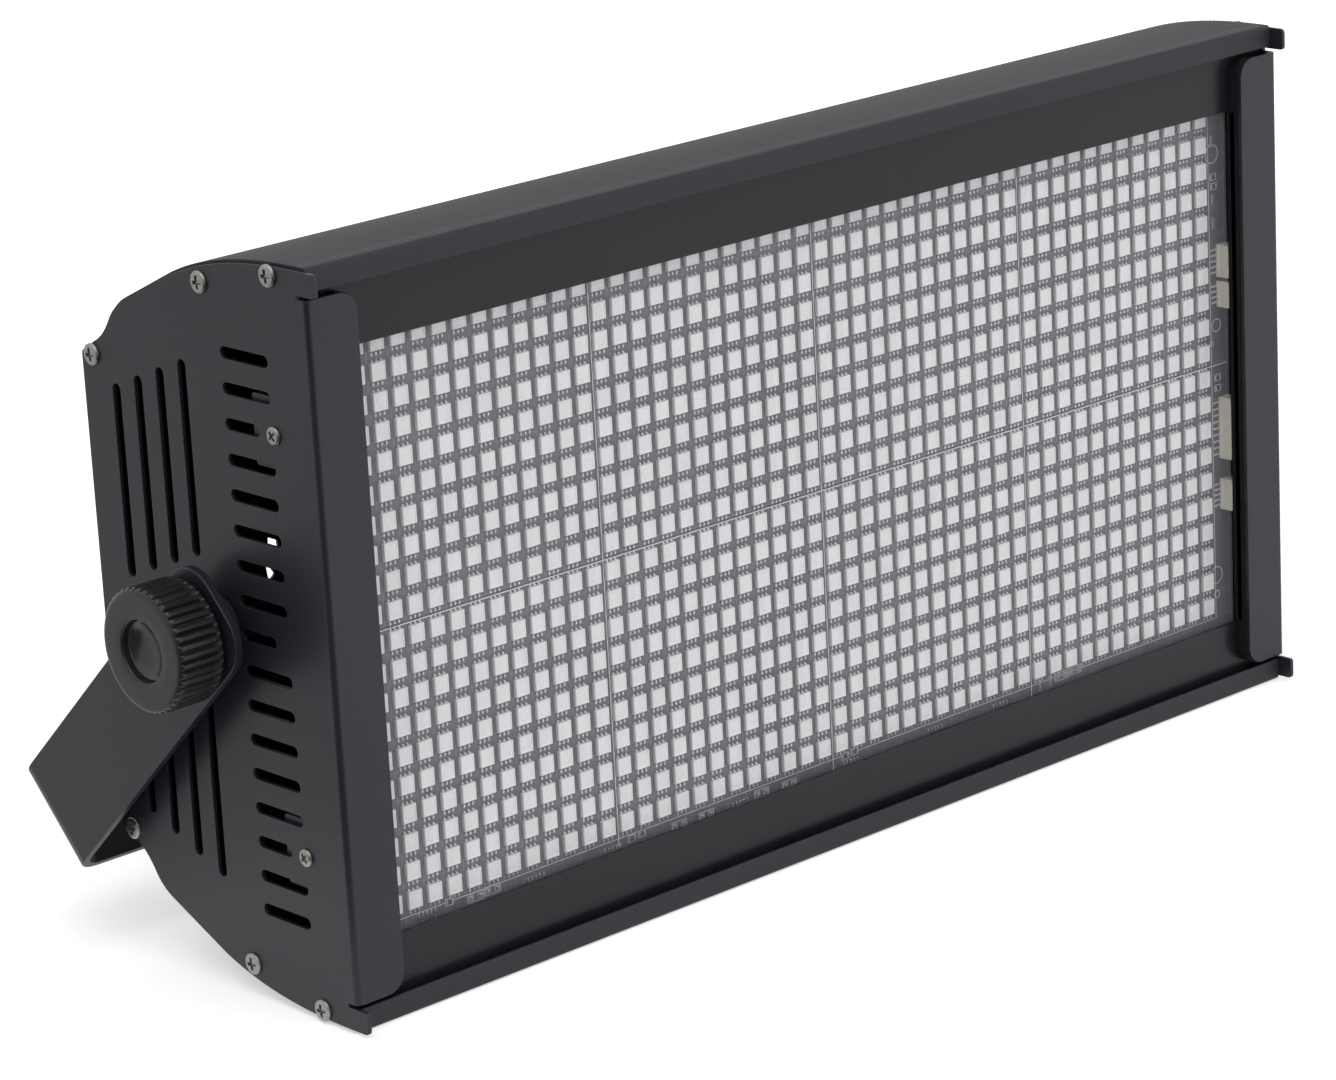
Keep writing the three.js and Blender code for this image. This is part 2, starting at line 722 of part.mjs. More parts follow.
const buttonX = (i) => (i - (button.count - 1) / 2) * button.pitch;

function rearPanel() {
  const shape = roundedRectangle(innerLength, 2 * rearPanelTop, clearance);
  const holes = shape.holes;
  for (const side of [-1, 1]) {
    const x = side * fanX;
    for (const radius of grilleRings) {
      for (let i = 0; i < grilleBridges; i += 1) {
        const bridge = THREE.MathUtils.degToRad(grilleBridgeTurn) * (grilleRings[0] / radius);
        const start = ((i + 1 / 2) / grilleBridges) * full + bridge;
        holes.push(grilleHole(x, 0, radius, start, start + full / grilleBridges - 2 * bridge));
      }
    }
    for (let i = 0; i < vent.count; i += 1) {
      const across = x + (i - (vent.count - 1) / 2) * vent.pitch;
      for (const up of [-1, 1]) {
        const middle = up * ventZ;
        const half = vent.height / 2;
        holes.push(slotHole(across, middle - half, across, middle + half, vent.width));
      }
    }
    holes.push(roundHole(side * dataX, dataZ, data.radius + clearance, smoothSides));
    const width = powerBody.width + 2 * clearance;
    const height = powerBody.height + 2 * clearance;
    holes.push(roundedRectangle(width, height, clearance, side * powerX, powerZ));
  }
  holes.push(roundedRectangle(
    displayWidth + 2 * clearance, displayHeight + 2 * clearance, clearance, 0, displayZ,
  ));
  for (let i = 0; i < button.count; i += 1) {
    holes.push(roundHole(buttonX(i), buttonZ, button.radius + clearance));
  }
  holes.push(roundHole(0, fuseZ, fuse.radius + clearance));
  holes.push(roundHole(0, safetyZ, safety.shank + clearance));
  return runAlongY(shape, rearFront, rearBack);
}

function controlBoard() {
  const halfWidth = controlWidth / 2;
  const low = controlZ - controlHeight / 2;
  const high = controlZ + controlHeight / 2;
  const inset = postRadius + overrun;
  const posts = [];
  for (const side of [-1, 1]) {
    for (const z of [low + inset, high - inset]) {
      const x = side * (halfWidth - inset);
      const start = controlRear - boardSheet / 2;
      posts.push(rodAlongY(postRadius, start, rearFront - clearance, x, z, coarseSides));
    }
  }
  return join([slab(-halfWidth, halfWidth, controlFront, controlRear, low, high), ...posts]);
}

function display() {
  const back = controlRear + clearance;
  const front = rearBack + displayRimHeight;
  const half = { x: displayWidth / 2, z: displayHeight / 2 };
  const glass = slab(-half.x, half.x, back, front, displayZ - half.z, displayZ + half.z);
  const rimX = half.x + displayRim;
  const rimZ = half.z + displayRim;
  const rim = slab(-rimX, rimX, rearBack + clearance, front, displayZ - rimZ, displayZ + rimZ);
  return join([glass, rim]);
}

function menuButton(x) {
  const rimBack = rearFront - clearance;
  return join([
    rodAlongY(button.radius, rimBack - button.rimHeight, rearBack + button.out, x, buttonZ),
    rodAlongY(button.rim, rimBack - button.rimHeight, rimBack, x, buttonZ),
    rodAlongY(button.radius / 2, rimBack - button.stem, rimBack, x, buttonZ, coarseSides),
  ]);
}

function powerShell(side, tools) {
  const x = side * powerX;
  const z = powerZ;
  const faceIn = rearBack + clearance;
  const faceOut = faceIn + power.flange;
  const flange = runAlongY(roundedRectangle(power.width, power.height, power.flange, x, z), faceIn, faceOut);
  const half = { x: powerBody.width / 2, z: powerBody.height / 2 };
  const body = slab(x - half.x, x + half.x, faceOut - power.depth, faceIn, z - half.z, z + half.z);
  return cut(join([flange, body]), tools(x, z, faceOut));
}

function powerInlet() {
  const well = powerWell;
  const wellTool = (x, z, face) => [
    slab(x - well.width / 2, x + well.width / 2, face - well.depth, face + overrun,
      z - well.height / 2, z + well.height / 2),
  ];
  const shell = powerShell(-1, wellTool);
  const floor = rearBack + clearance + power.flange - well.depth;
  const pins = [-1, 0, 1].map((i) => {
    const x = i * well.pitch - powerX;
    return slab(x - well.pin / 2, x + well.pin / 2, floor - well.pin, floor + well.pinLength,
      powerZ - well.pinHeight / 2, powerZ + well.pinHeight / 2);
  });
  return join([shell, ...pins]);
}

function powerOutlet() {
  const well = powerWell;
  return powerShell(1, (x, z, face) => [-1, 0, 1].map((i) => {
    const half = well.pin / 2 + clearance;
    const middle = x + i * well.pitch;
    return slab(middle - half, middle + half, face - well.pinLength, face + overrun,
      z - well.pinHeight / 2 - clearance, z + well.pinHeight / 2 + clearance);
  }));
}

function dataShell(side) {
  const x = side * dataX;
  const faceIn = rearBack + clearance;
  const flange = roundedRectangle(data.width, data.height, data.flange, x, dataZ);
  return join([
    runAlongY(flange, faceIn, dataFace),
    rodAlongY(data.radius, dataFace - data.depth, faceIn, x, dataZ, smoothSides),
  ]);
}

function pinRods(x, y0, y1, radius) {
  return Array.from({ length: dataWell.pins }, (_, i) => {
    const angle = Math.PI / 2 + (i / dataWell.pins) * full;
    const across = x + dataWell.pinCircle * Math.cos(angle);
    return rodAlongY(radius, y0, y1, across, dataZ + dataWell.pinCircle * Math.sin(angle), coarseSides);
  });
}

function dataInlet() {
  const floor = dataFace - dataWell.depth;
  const well = rodAlongY(dataWell.radius, floor, dataFace + overrun, -dataX, dataZ, smoothSides);
  const pins = pinRods(-dataX, floor - overrun, floor + dataWell.pinLength, dataWell.pin);
  return join([cut(dataShell(-1), [well]), ...pins]);
}

function dataOutlet() {
  const floor = dataFace - dataWell.depth;
  const coreRadius = dataWell.radius - dataWell.ringWidth;
  const outer = rodAlongY(dataWell.radius, floor, dataFace + overrun, dataX, dataZ, smoothSides);
  const core = rodAlongY(coreRadius, floor - overrun, dataFace + 2 * overrun, dataX, dataZ, smoothSides);
  const sockets = pinRods(dataX, dataFace - dataWell.pinLength, dataFace + overrun, dataWell.pin + clearance);
  return cut(dataShell(1), [cut(outer, [core]), ...sockets]);
}

function fuseHolder() {
  const faceIn = rearBack + clearance;
  const faceOut = faceIn + fuse.rimHeight;
  const body = join([
    rodAlongY(fuse.radius, faceOut - fuse.depth, faceOut, 0, fuseZ),
    rodAlongY(fuse.rim, faceIn, faceOut, 0, fuseZ),
  ]);
  const bore = rodAlongY(fuse.bore, faceOut - fuse.depth + overrun, faceOut + overrun, 0, fuseZ);
  return cut(body, [bore]);
}

function fuseCap() {
  const faceOut = rearBack + clearance + fuse.rimHeight;
  const low = faceOut + clearance;
  const high = low + fuseGrip.height;
  const across = fuseGrip.radius + overrun;
  const half = fuseGrip.slotWidth / 2;
  const body = join([
    rodAlongY(fuseGrip.radius, low, high, 0, fuseZ),
    rodAlongY(fuse.bore - clearance, faceOut - fuse.stem, low + clearance, 0, fuseZ),
  ]);
  const slot = slab(-across, across, high - fuseGrip.slotDepth, high + overrun, fuseZ - half, fuseZ + half);
  return cut(body, [slot]);
}

function safetyEye() {
  const low = rearBack + clearance;
  const ringMiddle = safety.inner + safety.bar;
  const ring = new THREE.TorusGeometry(ringMiddle, safety.bar, coarseSides, roundSides);
  const centre = low + safety.baseHeight + safety.neck + ringMiddle;
  return join([
    rodAlongY(safety.base, low, low + safety.baseHeight, 0, safetyZ),
    rodAlongY(safety.shank, low - safety.thread, centre - ringMiddle, 0, safetyZ),
    ring.rotateY(Math.PI / 2).translate(0, centre, safetyZ),
  ]);
}

const fanRear = rearFront - clearance;
const fanFront = fanRear - fanDepth;

function fanFrame(side) {
  const x = side * fanX;
  const shape = roundedRectangle(fanSize, fanSize, fanFrameRound, x, 0);
  const shell = cut(
    runAlongY(shape, fanFront, fanRear),
    [rodAlongY(fanBore, fanFront - overrun, fanRear + overrun, x, 0, fineSides)],
  );
  const parts = [shell, rodAlongY(fanHub, fanFront, fanFront + fanPlate, x, 0)];
  for (let i = 0; i < fanStruts; i += 1) {
    const strut = slab(0, fanBore + clearance, fanFront, fanFront + fanPlate, -fanStrut / 2, fanStrut / 2);
    parts.push(strut.rotateY((i / fanStruts) * full).translate(x, 0, 0));
  }
  parts.push(rodAlongY(fanPin, fanFront, fanRear - 2 * fanPlate, x, 0, coarseSides));
  return join(parts);
}

function fanRotor(side) {
  const x = side * fanX;
  const low = fanFront + fanPlate + clearance;
  const high = fanRear - fanPlate;
  const middle = (low + high) / 2;
  const parts = [rodAlongY(fanHub, low, high, 0, 0)];
  const reach = fanBore - fanBladeGap;
  const half = { sheet: fanBladeSheet / 2, width: fanBladeWidth / 2 };
  for (let i = 0; i < fanBlades; i += 1) {
    const blade = slab(fanHub - fanPin, reach, -half.sheet, half.sheet, -half.width, half.width);
    blade.rotateX(THREE.MathUtils.degToRad(fanBladeTurn));
    const turn = THREE.MathUtils.degToRad(fanRest) + (i / fanBlades) * full;
    parts.push(blade.translate(0, middle, 0).rotateY(turn));
  }
  const boreEnd = fanRear - 2 * fanPlate + clearance;
  const bore = rodAlongY(fanPin + clearance, low - overrun, boreEnd, 0, 0, coarseSides);
  const whole = overlap(join(parts), rodAlongY(reach, low, high, 0, 0, fineSides));
  return cut(whole, [bore]).translate(x, 0, 0);
}

function powerSupply() {
  const front = carrierBack + clearance;
  const right = halfLength - supply.inset;
  const left = right - supply.width;
  const half = supply.height / 2;
  return join([
    slab(left, right, front, front + supply.depth, -half, half),
    slab(left - supply.lip, right + supply.lip, front, front + supply.lipSheet, -half, half),
  ]);
}

for (const [side, sideName] of [[-1, 'left'], [1, 'right']]) {
  place(`${sideName}_end_plate`, endPlate(side), blackMetal);
  place(`${sideName}_foam_strip`, foam(side), blackFoam);
  place(`${sideName}_spacer`, spacer(side), blackPlastic);
  place(`${sideName}_pivot_nut`, pivotNut(side), bareSteel);
  place(`${sideName}_fan_frame`, fanFrame(side), blackPlastic);
  place(`${sideName}_fan_rotor`, fanRotor(side), blackPlastic);
  const knobMesh = place(`${sideName}_knob`, knob(), blackPlastic);
  knobMesh.position.set(0, pivotY, 0);
  knobMesh.rotation.y = side > 0 ? 0 : Math.PI;
  endPlateScrews(side, sideName);
}
place('upper_profile', profile(1), blackMetal);
place('lower_profile', profile(-1), blackMetal);
place('upper_trim', trim(1), blackMetal);
place('lower_trim', trim(-1), blackMetal);
place('front_cover', cover(), clearPlastic);
ledBoards();
place('board_carrier', boardCarrier(), bareAluminium);
place('power_supply', powerSupply(), bareAluminium);
place('rear_panel', rearPanel(), blackMetal);
place('control_board', controlBoard(), greenBoard);
place('display', display(), redGlass);
for (let i = 0; i < button.count; i += 1) {
  place(`menu_button_${i + 1}`, menuButton(buttonX(i)), blackPlastic);
}
place('power_inlet', powerInlet(), blackPlastic);
place('power_outlet', powerOutlet(), blackPlastic);
place('data_inlet', dataInlet(), blackPlastic);
place('data_outlet', dataOutlet(), blackPlastic);
place('fuse_holder', fuseHolder(), blackPlastic);
place('fuse_cap', fuseCap(), blackPlastic);
place('safety_eye', safetyEye(), bareSteel);
place('yoke', yoke(), blackMetal, yokeFrame);

export default model;
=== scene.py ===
"""Looks of the strobe light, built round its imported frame.

Sizes are the housing's own millimetres: x along the panel, y from the window to the rear,
z up from mid-height. to_row() turns a finished mesh into the row's metres.
"""
import math

import bmesh
import bpy
from mathutils import Matrix, Vector


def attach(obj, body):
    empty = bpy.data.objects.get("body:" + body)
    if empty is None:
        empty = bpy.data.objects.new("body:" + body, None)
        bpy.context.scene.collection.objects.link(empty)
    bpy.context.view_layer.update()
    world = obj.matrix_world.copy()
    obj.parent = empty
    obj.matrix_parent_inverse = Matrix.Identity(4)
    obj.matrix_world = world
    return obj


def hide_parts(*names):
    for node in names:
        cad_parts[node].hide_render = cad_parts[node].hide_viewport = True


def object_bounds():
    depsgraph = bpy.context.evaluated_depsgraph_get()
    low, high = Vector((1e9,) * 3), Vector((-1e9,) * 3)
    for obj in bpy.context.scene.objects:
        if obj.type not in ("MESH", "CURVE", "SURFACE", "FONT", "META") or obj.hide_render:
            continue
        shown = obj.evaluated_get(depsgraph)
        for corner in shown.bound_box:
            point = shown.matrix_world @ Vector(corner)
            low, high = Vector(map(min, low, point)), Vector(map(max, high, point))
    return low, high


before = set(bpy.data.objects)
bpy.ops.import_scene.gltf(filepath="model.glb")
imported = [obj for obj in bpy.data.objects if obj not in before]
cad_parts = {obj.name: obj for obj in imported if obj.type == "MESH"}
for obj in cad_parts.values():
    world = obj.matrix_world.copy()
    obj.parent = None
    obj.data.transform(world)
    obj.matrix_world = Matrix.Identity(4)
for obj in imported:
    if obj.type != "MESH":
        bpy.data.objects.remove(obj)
cad_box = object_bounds()

# ---- sizes shared by the pieces
SIDES, EDGES = ((-1, "left"), (1, "right")), ((1, "upper"), (-1, "lower"))
HALF_LENGTH, INNER_END, SHEET = 230.0, 228.2, 1.5
CLAMP_Y, CLAMP_Z, PIVOT_Y = 153.332, -86.070, 61.997
FLANGE_FRONT, FLANGE_WIDTH, FLANGE_TOP = 4.5, 20.0, 117.0
LIP_FRONT, LIP_BOTTOM, GROOVE_TOP = 6.0, 119.0, 122.2
TRIM_FRONT, TRIM_BACK, COVER_FRONT, COVER_BACK = 10.6, 11.8, 12.1, 14.1
WINDOW_TOP, WINDOW_BOTTOM = 97.4, -100.2
BOARD_FRONT, BOARD_BACK = 18.2, 19.8
BOARD_SIDE, BOARD_EDGE, BOARD_CELL = 215.68, 107.0, 102.84
LAMP_FACE, LEAD_PITCH, INK_FOOT = 16.64, 1.86, 0.02
LAMP_PITCH_X, LAMP_PITCH_Z = 8.577, 9.941
LAMP_MIDDLE_X, LAMP_MIDDLE_Z = -0.40, 0.52
CARRIER_Y, CARRIER_Z = 25.5, 70.61
REAR_FRONT, REAR_BACK = 123.3, 124.5
FULL, QUARTER = 2 * math.pi, math.pi / 2


# ---- pieces
def to_row(mesh):
    """Housing millimetres to the row's metres."""
    mesh.transform(Matrix.Translation(at(0, 0, 0)) @ Matrix.Scale(0.001, 4))
    mesh.update()
    return mesh


def at(x, y, z):
    """A place on the housing, in the row's metres."""
    return Vector((x / 1000, (y - CLAMP_Y) / 1000, (z - CLAMP_Z) / 1000))


def shade(mesh, angle=32):
    for face in mesh.polygons:
        face.use_smooth = True
    mesh.set_sharp_from_angle(angle=math.radians(angle))
    return mesh


def show(name, data):
    thing = bpy.data.objects.new(name, data)
    bpy.context.scene.collection.objects.link(thing)
    return thing


def evaluated(piece):
    """The piece's finished mesh, with its modifiers applied."""
    graph = bpy.context.evaluated_depsgraph_get()
    graph.update()
    return bpy.data.meshes.new_from_object(piece.evaluated_get(graph), depsgraph=graph)


def settle(piece):
    """Applies every modifier, so that the piece is one plain mesh."""
    mesh, old = evaluated(piece), piece.data
    piece.modifiers.clear()
    piece.data = mesh
    bpy.data.meshes.remove(old)
    return piece


def finish(piece, slot, nodes=(), body="housing", flat=True):
    """Last steps of each piece: even normals on flat faces, its body, and the nodes it stands for, which are
    hidden. The slot is not used.
    """
    if flat:
        weights = piece.modifiers.new("flat faces stay flat", "WEIGHTED_NORMAL")
        weights.keep_sharp, weights.weight = True, 90
        settle(piece)
    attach(piece, body)
    if nodes:
        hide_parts(*nodes)
    return piece


def make(name, mesh, material, nodes=(), body="housing", slot=None, angle=32, flat=True):
    """A piece from a mesh in housing millimetres, in a material. The slot, unless told otherwise the material's
    own, is handed to finish(), which does not use it.
    """
    piece = show(name, shade(to_row(mesh), angle))
    piece.data.materials.append(material)
    return finish(piece, slot or SLOT_OF[material.name], nodes, body, flat)


# ---- outlines
def arc(cx, cy, radius, start, end, steps):
    turns = [start + (end - start) * i / steps for i in range(steps + 1)]
    return [(cx + radius * math.cos(turn), cy + radius * math.sin(turn)) for turn in turns]


def ring_points(cx, cy, radius, steps=32):
    return arc(cx, cy, radius, 0, FULL * (steps - 1) / steps, steps - 1)


def curve_points(a, b, c, steps):
    """A quadratic curve from a to c, pulled to b."""
    return [
        tuple((1 - t) ** 2 * a[k] + 2 * t * (1 - t) * b[k] + t * t * c[k] for k in (0, 1))
        for t in (i / steps for i in range(steps + 1))
    ]


def rounded_box(cx, cy, width, height, radius, steps=6):
    half_w, half_h = width / 2 - radius, height / 2 - radius
    points = []
    for i, (sx, sy) in enumerate(((1, 1), (-1, 1), (-1, -1), (1, -1))):
        points += arc(cx + sx * half_w, cy + sy * half_h, radius, i * QUARTER, (i + 1) * QUARTER, steps)
    return points


def slot_points(x0, y0, x1, y1, width, steps=8):
    """A slot with round ends, measured over its ends."""
    way, half = math.atan2(y1 - y0, x1 - x0), width / 2
    dx, dy = half * math.cos(way), half * math.sin(way)
    return (arc(x1 - dx, y1 - dy, half, way - QUARTER, way + QUARTER, steps)
            + arc(x0 + dx, y0 + dy, half, way + QUARTER, way + 3 * QUARTER, steps))


def rounded_path(points, radius, steps=3):
    """The closed outline with each corner sharper than 25 degrees rounded."""
    result = []
    for i, point in enumerate(points):
        here = Vector(point)
        a, b = Vector(points[i - 1]) - here, Vector(points[(i + 1) % len(points)]) - here
        turn = math.pi - a.angle(b, math.pi)
        if turn < math.radians(25):
            result.append(tuple(here))
            continue
        reach = min(radius * math.tan(turn / 2), 0.45 * a.length, 0.45 * b.length)
        result += curve_points(here + a.normalized() * reach, here, here + b.normalized() * reach, steps)
    return result


def moved(points, *distances):
    """The line moved square to itself, outwards by one distance for all of its points or by one for each."""
    result = []
    for i, (x, y) in enumerate(points):
        before, after = Vector(points[max(i - 1, 0)]), Vector(points[min(i + 1, len(points) - 1)])
        way, distance = (after - before).normalized(), distances[i % len(distances)]
        result.append((x - way.y * distance, y + way.x * distance))
    return result


def spaced(points, step):
    """The same line with its points an even way apart."""
    marks = [0.0]
    for a, b in zip(points, points[1:]):
        marks.append(marks[-1] + (Vector(b) - Vector(a)).length)
    result, k = [], 0
    count = int(marks[-1] / step)
    for i in range(count + 1):
        target = i * marks[-1] / count
        while k < len(marks) - 2 and marks[k + 1] < target:
            k += 1
        share = (target - marks[k]) / (marks[k + 1] - marks[k])
        result.append(tuple(Vector(points[k]).lerp(Vector(points[k + 1]), share)))
    return result


# ---- meshes
def outwards(work):
    bmesh.ops.recalc_face_normals(work, faces=work.faces)


def merged(work, gap=0.002):
    bmesh.ops.remove_doubles(work, verts=work.verts, dist=gap)
    bmesh.ops.dissolve_degenerate(work, edges=work.edges, dist=gap / 2)
    outwards(work)


def closed(work):
    """The finished bmesh as a mesh, with its faces outwards."""
    outwards(work)
    mesh = bpy.data.meshes.new("piece")
    work.to_mesh(mesh)
    work.free()
    return mesh


def edited(mesh, change):
    """The mesh after change(work), which works on it as a bmesh."""
    work = bmesh.new()
    work.from_mesh(mesh)
    change(work)
    work.to_mesh(mesh)
    work.free()
    return mesh


def joined(*meshes):
    """Several closed meshes as one."""
    work = bmesh.new()
    for mesh in meshes:
        work.from_mesh(mesh)
        bpy.data.meshes.remove(mesh)
    return closed(work)


def bent(mesh, rule, folds=()):
    """Sends each point where rule(x, y, z) says, after rows of edges are added across x at the folds."""
    def cut(work):
        for place in folds:
            bmesh.ops.bisect_plane(work, geom=work.verts[:] + work.edges[:] + work.faces[:], dist=1e-4,
                                   plane_co=(place, 0, 0), plane_no=(1, 0, 0))
    edited(mesh, cut)
    for vertex in mesh.vertices:
        vertex.co = rule(*vertex.co)
    return edited(mesh, outwards)


def flat_sheet(outlines, thickness, bevel, bevel_steps=1):
    """A sheet cut to the outlines, the first one outside, with softened edges, centred on z = 0.
    The outlines run against the clock."""
    data = bpy.data.curves.new("outline", "CURVE")
    data.dimensions, data.fill_mode = "2D", "BOTH"
    for points in outlines:
        spline = data.splines.new("POLY")
        spline.points.add(len(points) - 1)
        for target, point in zip(spline.points, points):
            target.co = (*point, 0, 1)
        spline.use_cyclic_u = True
    data.extrude, data.offset = thickness / 2 - bevel, -bevel
    data.bevel_depth, data.bevel_resolution = bevel, bevel_steps
    holder = show("outline", data)
    mesh = evaluated(holder)
    bpy.data.objects.remove(holder)
    bpy.data.curves.remove(data)
    return edited(mesh, merged)


def stood(outlines, front, back, bevel, steps=1):
    """A flat sheet of (x, z) outlines that faces the rear."""
    middle = (front + back) / 2
    return bent(flat_sheet(outlines, back - front, bevel, steps), lambda x, z, out: (x, middle - out, z))


def stacked(rings, work=None, loop=False):
    """A skin over rings of points, each joined to the next. A ring of one point is a tip. The end rings
    are closed, or with loop joined to each other."""
    made = work or bmesh.new()
    rings = [[made.verts.new(point) for point in ring] for ring in rings]
    for low, high in zip(rings, rings[1:] + (rings[:1] if loop else [])):
        count = max(len(low), len(high))
        for i in range(count):
            j = (i + 1) % count
            corners = (low[i % len(low)], low[j % len(low)], high[j % len(high)], high[i % len(high)])
            made.faces.new(tuple(dict.fromkeys(corners)))
    for ring in () if loop else (rings[0][::-1], rings[-1]):
        if len(ring) > 1:
            made.faces.new(ring)
    return None if work else closed(made)


def swept(points, start, end, place=lambda a, b, s: (a, b, s)):
    """A closed outline of (a, b) points run from start to end; place(a, b, s) says where each goes."""
    return stacked([[place(a, b, s) for a, b in points] for s in (start, end)])


def block(x0, x1, y0, y1, z0, z1, bevel=0.3, steps=2):
    """A block placed by its faces, with its edges softened."""
    work = bmesh.new()
    bmesh.ops.create_cube(work, size=1)
    for vertex in work.verts:
        spans = zip(vertex.co, (x0, y0, z0), (x1, y1, z1))
        vertex.co = [low + (share + 0.5) * (high - low) for share, low, high in spans]
    if bevel:
        bmesh.ops.bevel(work, geom=work.edges[:], offset=bevel, segments=steps, profile=0.5, affect="EDGES")
    return closed(work)


def small_blocks(boxes, bevel=0.0):
    return joined(*(block(*box, bevel, 1) for box in boxes))


def lathe(profile, sides=48, centre=(0, 0, 0), side=0, ripple=None):
    """Turns a profile of (radius, height) points about an axis through centre: towards the rear, or to the
    given side. ripple(angle, radius, height) gives the radius where the piece isn't round."""
    rings = []
    for radius, height in profile:
        turns = [FULL * i / sides for i in range(sides if radius else 1)]
        spokes = [(ripple(turn, radius, height) if ripple else radius, turn) for turn in turns]
        rings.append([(reach * math.cos(turn), reach * math.sin(turn), height) for reach, turn in spokes])
    mesh = stacked(rings)
    turn = Matrix.Rotation(side * QUARTER, 4, "Y") if side else Matrix.Rotation(-QUARTER, 4, "X")
    mesh.transform(Matrix.Translation(centre) @ turn)
    return mesh


# ---- node helpers
def fill(tree, socket, value):
    """Sets a socket, or links it where the value is another socket."""
    if isinstance(value, bpy.types.NodeSocket):
        tree.links.new(value, socket)
    else:
        socket.default_value = (*value, 1) if socket.type == "RGBA" else value


def add(tree, kind, values=None, **settings):
    """A new node with its settings, and with its inputs filled by name or number."""
    node = tree.nodes.new(kind)
    for key, value in settings.items():
        setattr(node, key, value)
    for key, value in (values or {}).items():
        fill(tree, node.inputs[key], value)
    return node


def new_group(name, kind, inputs, outputs):
    """A node group and its given values. A socket is told by its kind, or by its value where it is a number."""
    tree = bpy.data.node_groups.new(name, kind)
    for way, sockets in (("INPUT", inputs), ("OUTPUT", outputs)):
        for label, what in sockets.items():
            kind = "Float" if isinstance(what, float) else what
            socket = tree.interface.new_socket(label, in_out=way, socket_type="NodeSocket" + kind)
            if kind != what:
                socket.default_value = what
    return tree, tree.nodes.new("NodeGroupInput").outputs


def maths(tree, operation, *values, clamp=False):
    node = add(tree, "ShaderNodeMath", dict(enumerate(values)), operation=operation, use_clamp=clamp)
    return node.outputs[0]


def object_place(tree):
    return tree.nodes.new("ShaderNodeTexCoord").outputs["Object"]


def mapped(tree, place, **values):
    return add(tree, "ShaderNodeMapping", {"Vector": place, **values}).outputs["Vector"]


def noise(tree, place, scale, detail=2.0, roughness=0.5):
    values = {"Vector": place, "Scale": scale, "Detail": detail, "Roughness": roughness}
    return add(tree, "ShaderNodeTexNoise", values).outputs["Fac"]


def mixed(tree, mask, first, second):
    return add(tree, "ShaderNodeMix", {0: mask, 6: first, 7: second}, data_type="RGBA").outputs[2]


def ranged(tree, value, low, high, start=0.3, end=0.7):
    values = {"Value": value, "From Min": start, "From Max": end, "To Min": low, "To Max": high}
    return add(tree, "ShaderNodeMapRange", values).outputs["Result"]


def make_grain_group():
    """Fine paint or moulding grain with slow, faint patches. Tone is about 0.5."""
    tree, given = new_group("surface grain", "ShaderNodeTree",
                            {"Grain Scale": 2500.0, "Patch Scale": 14.0, "Patch Share": 0.4},
                            {"Tone": "Float", "Height": "Float"})
    place = object_place(tree)
    fine = noise(tree, place, given["Grain Scale"], 3.0, 0.6)
    patch = noise(tree, place, given["Patch Scale"], 4.0, 0.55)
    share = maths(tree, "MULTIPLY", patch, given["Patch Share"])
    rest = maths(tree, "SUBTRACT", 1.0, given["Patch Share"])
    tone = maths(tree, "ADD", share, maths(tree, "MULTIPLY", fine, rest))
    add(tree, "NodeGroupOutput", {"Tone": tone, "Height": fine})
    return tree


def make_wear_group():
    """Where edges are rubbed: 1 on sharp outer edges, broken up by noise."""
    sizes = {"Reach": 0.0006, "Break Scale": 160.0, "Amount": 1.0}
    tree, given = new_group("edge wear", "ShaderNodeTree", sizes, {"Mask": "Float"})
    rounded = add(tree, "ShaderNodeBevel", {"Radius": given["Reach"]}, samples=4).outputs["Normal"]
    plain = tree.nodes.new("ShaderNodeNewGeometry").outputs["Normal"]
    likeness = add(tree, "ShaderNodeVectorMath", {0: rounded, 1: plain}, operation="DOT_PRODUCT")
    turned = maths(tree, "SUBTRACT", 1.0, likeness.outputs["Value"])
    strong = maths(tree, "MULTIPLY", turned, 5.0, clamp=True)
    patches = noise(tree, object_place(tree), given["Break Scale"], 3.0, 0.6)
    broken = maths(tree, "MULTIPLY", maths(tree, "SUBTRACT", patches, 0.35), 3.0, clamp=True)
    mask = maths(tree, "MULTIPLY", maths(tree, "MULTIPLY", strong, broken), given["Amount"])
    add(tree, "NodeGroupOutput", {"Mask": mask})
    return tree


GRAIN, WEAR = make_grain_group(), make_wear_group()


# ---- materials
def shader(name, **values):
    material = bpy.data.materials.new(name)
    material.use_nodes = True
    tree = material.node_tree
    tree.nodes.clear()
    surface = add(tree, "ShaderNodeBsdfPrincipled", {key.replace("_", " "): values[key] for key in values})
    add(tree, "ShaderNodeOutputMaterial", {0: surface.outputs[0]})
    return material, tree, surface.inputs


def dress(tree, inputs, colour, tone, rough, relief, height=None, distance=0.0001):
    """Gives a surface its colour, its roughness over the range rough, and its relief."""
    fill(tree, inputs["Base Color"], colour)
    fill(tree, inputs["Roughness"], ranged(tree, tone, *rough))
    bump = {"Strength": relief, "Distance": distance, "Height": height or tone}
    fill(tree, inputs["Normal"], add(tree, "ShaderNodeBump", bump).outputs["Normal"])


def coated(name, dark, light, worn, rough=(0.45, 0.6), grain=2600.0, relief=0.25, patch=14.0, wear=0.6,
           specular=0.5):
    """Paint, ink or moulded plastic: grain, faint patches and rubbed edges."""
    material, tree, inputs = shader(name, Specular_IOR_Level=specular)
    skin = add(tree, "ShaderNodeGroup", {"Grain Scale": grain, "Patch Scale": patch}, node_tree=GRAIN).outputs
    edge = add(tree, "ShaderNodeGroup", {"Reach": 0.0005, "Amount": wear}, node_tree=WEAR).outputs
    base = mixed(tree, ranged(tree, skin["Tone"], 0, 1), dark, light)
    dress(tree, inputs, mixed(tree, edge["Mask"], base, worn), skin["Tone"], rough, relief, skin["Height"])
    return material


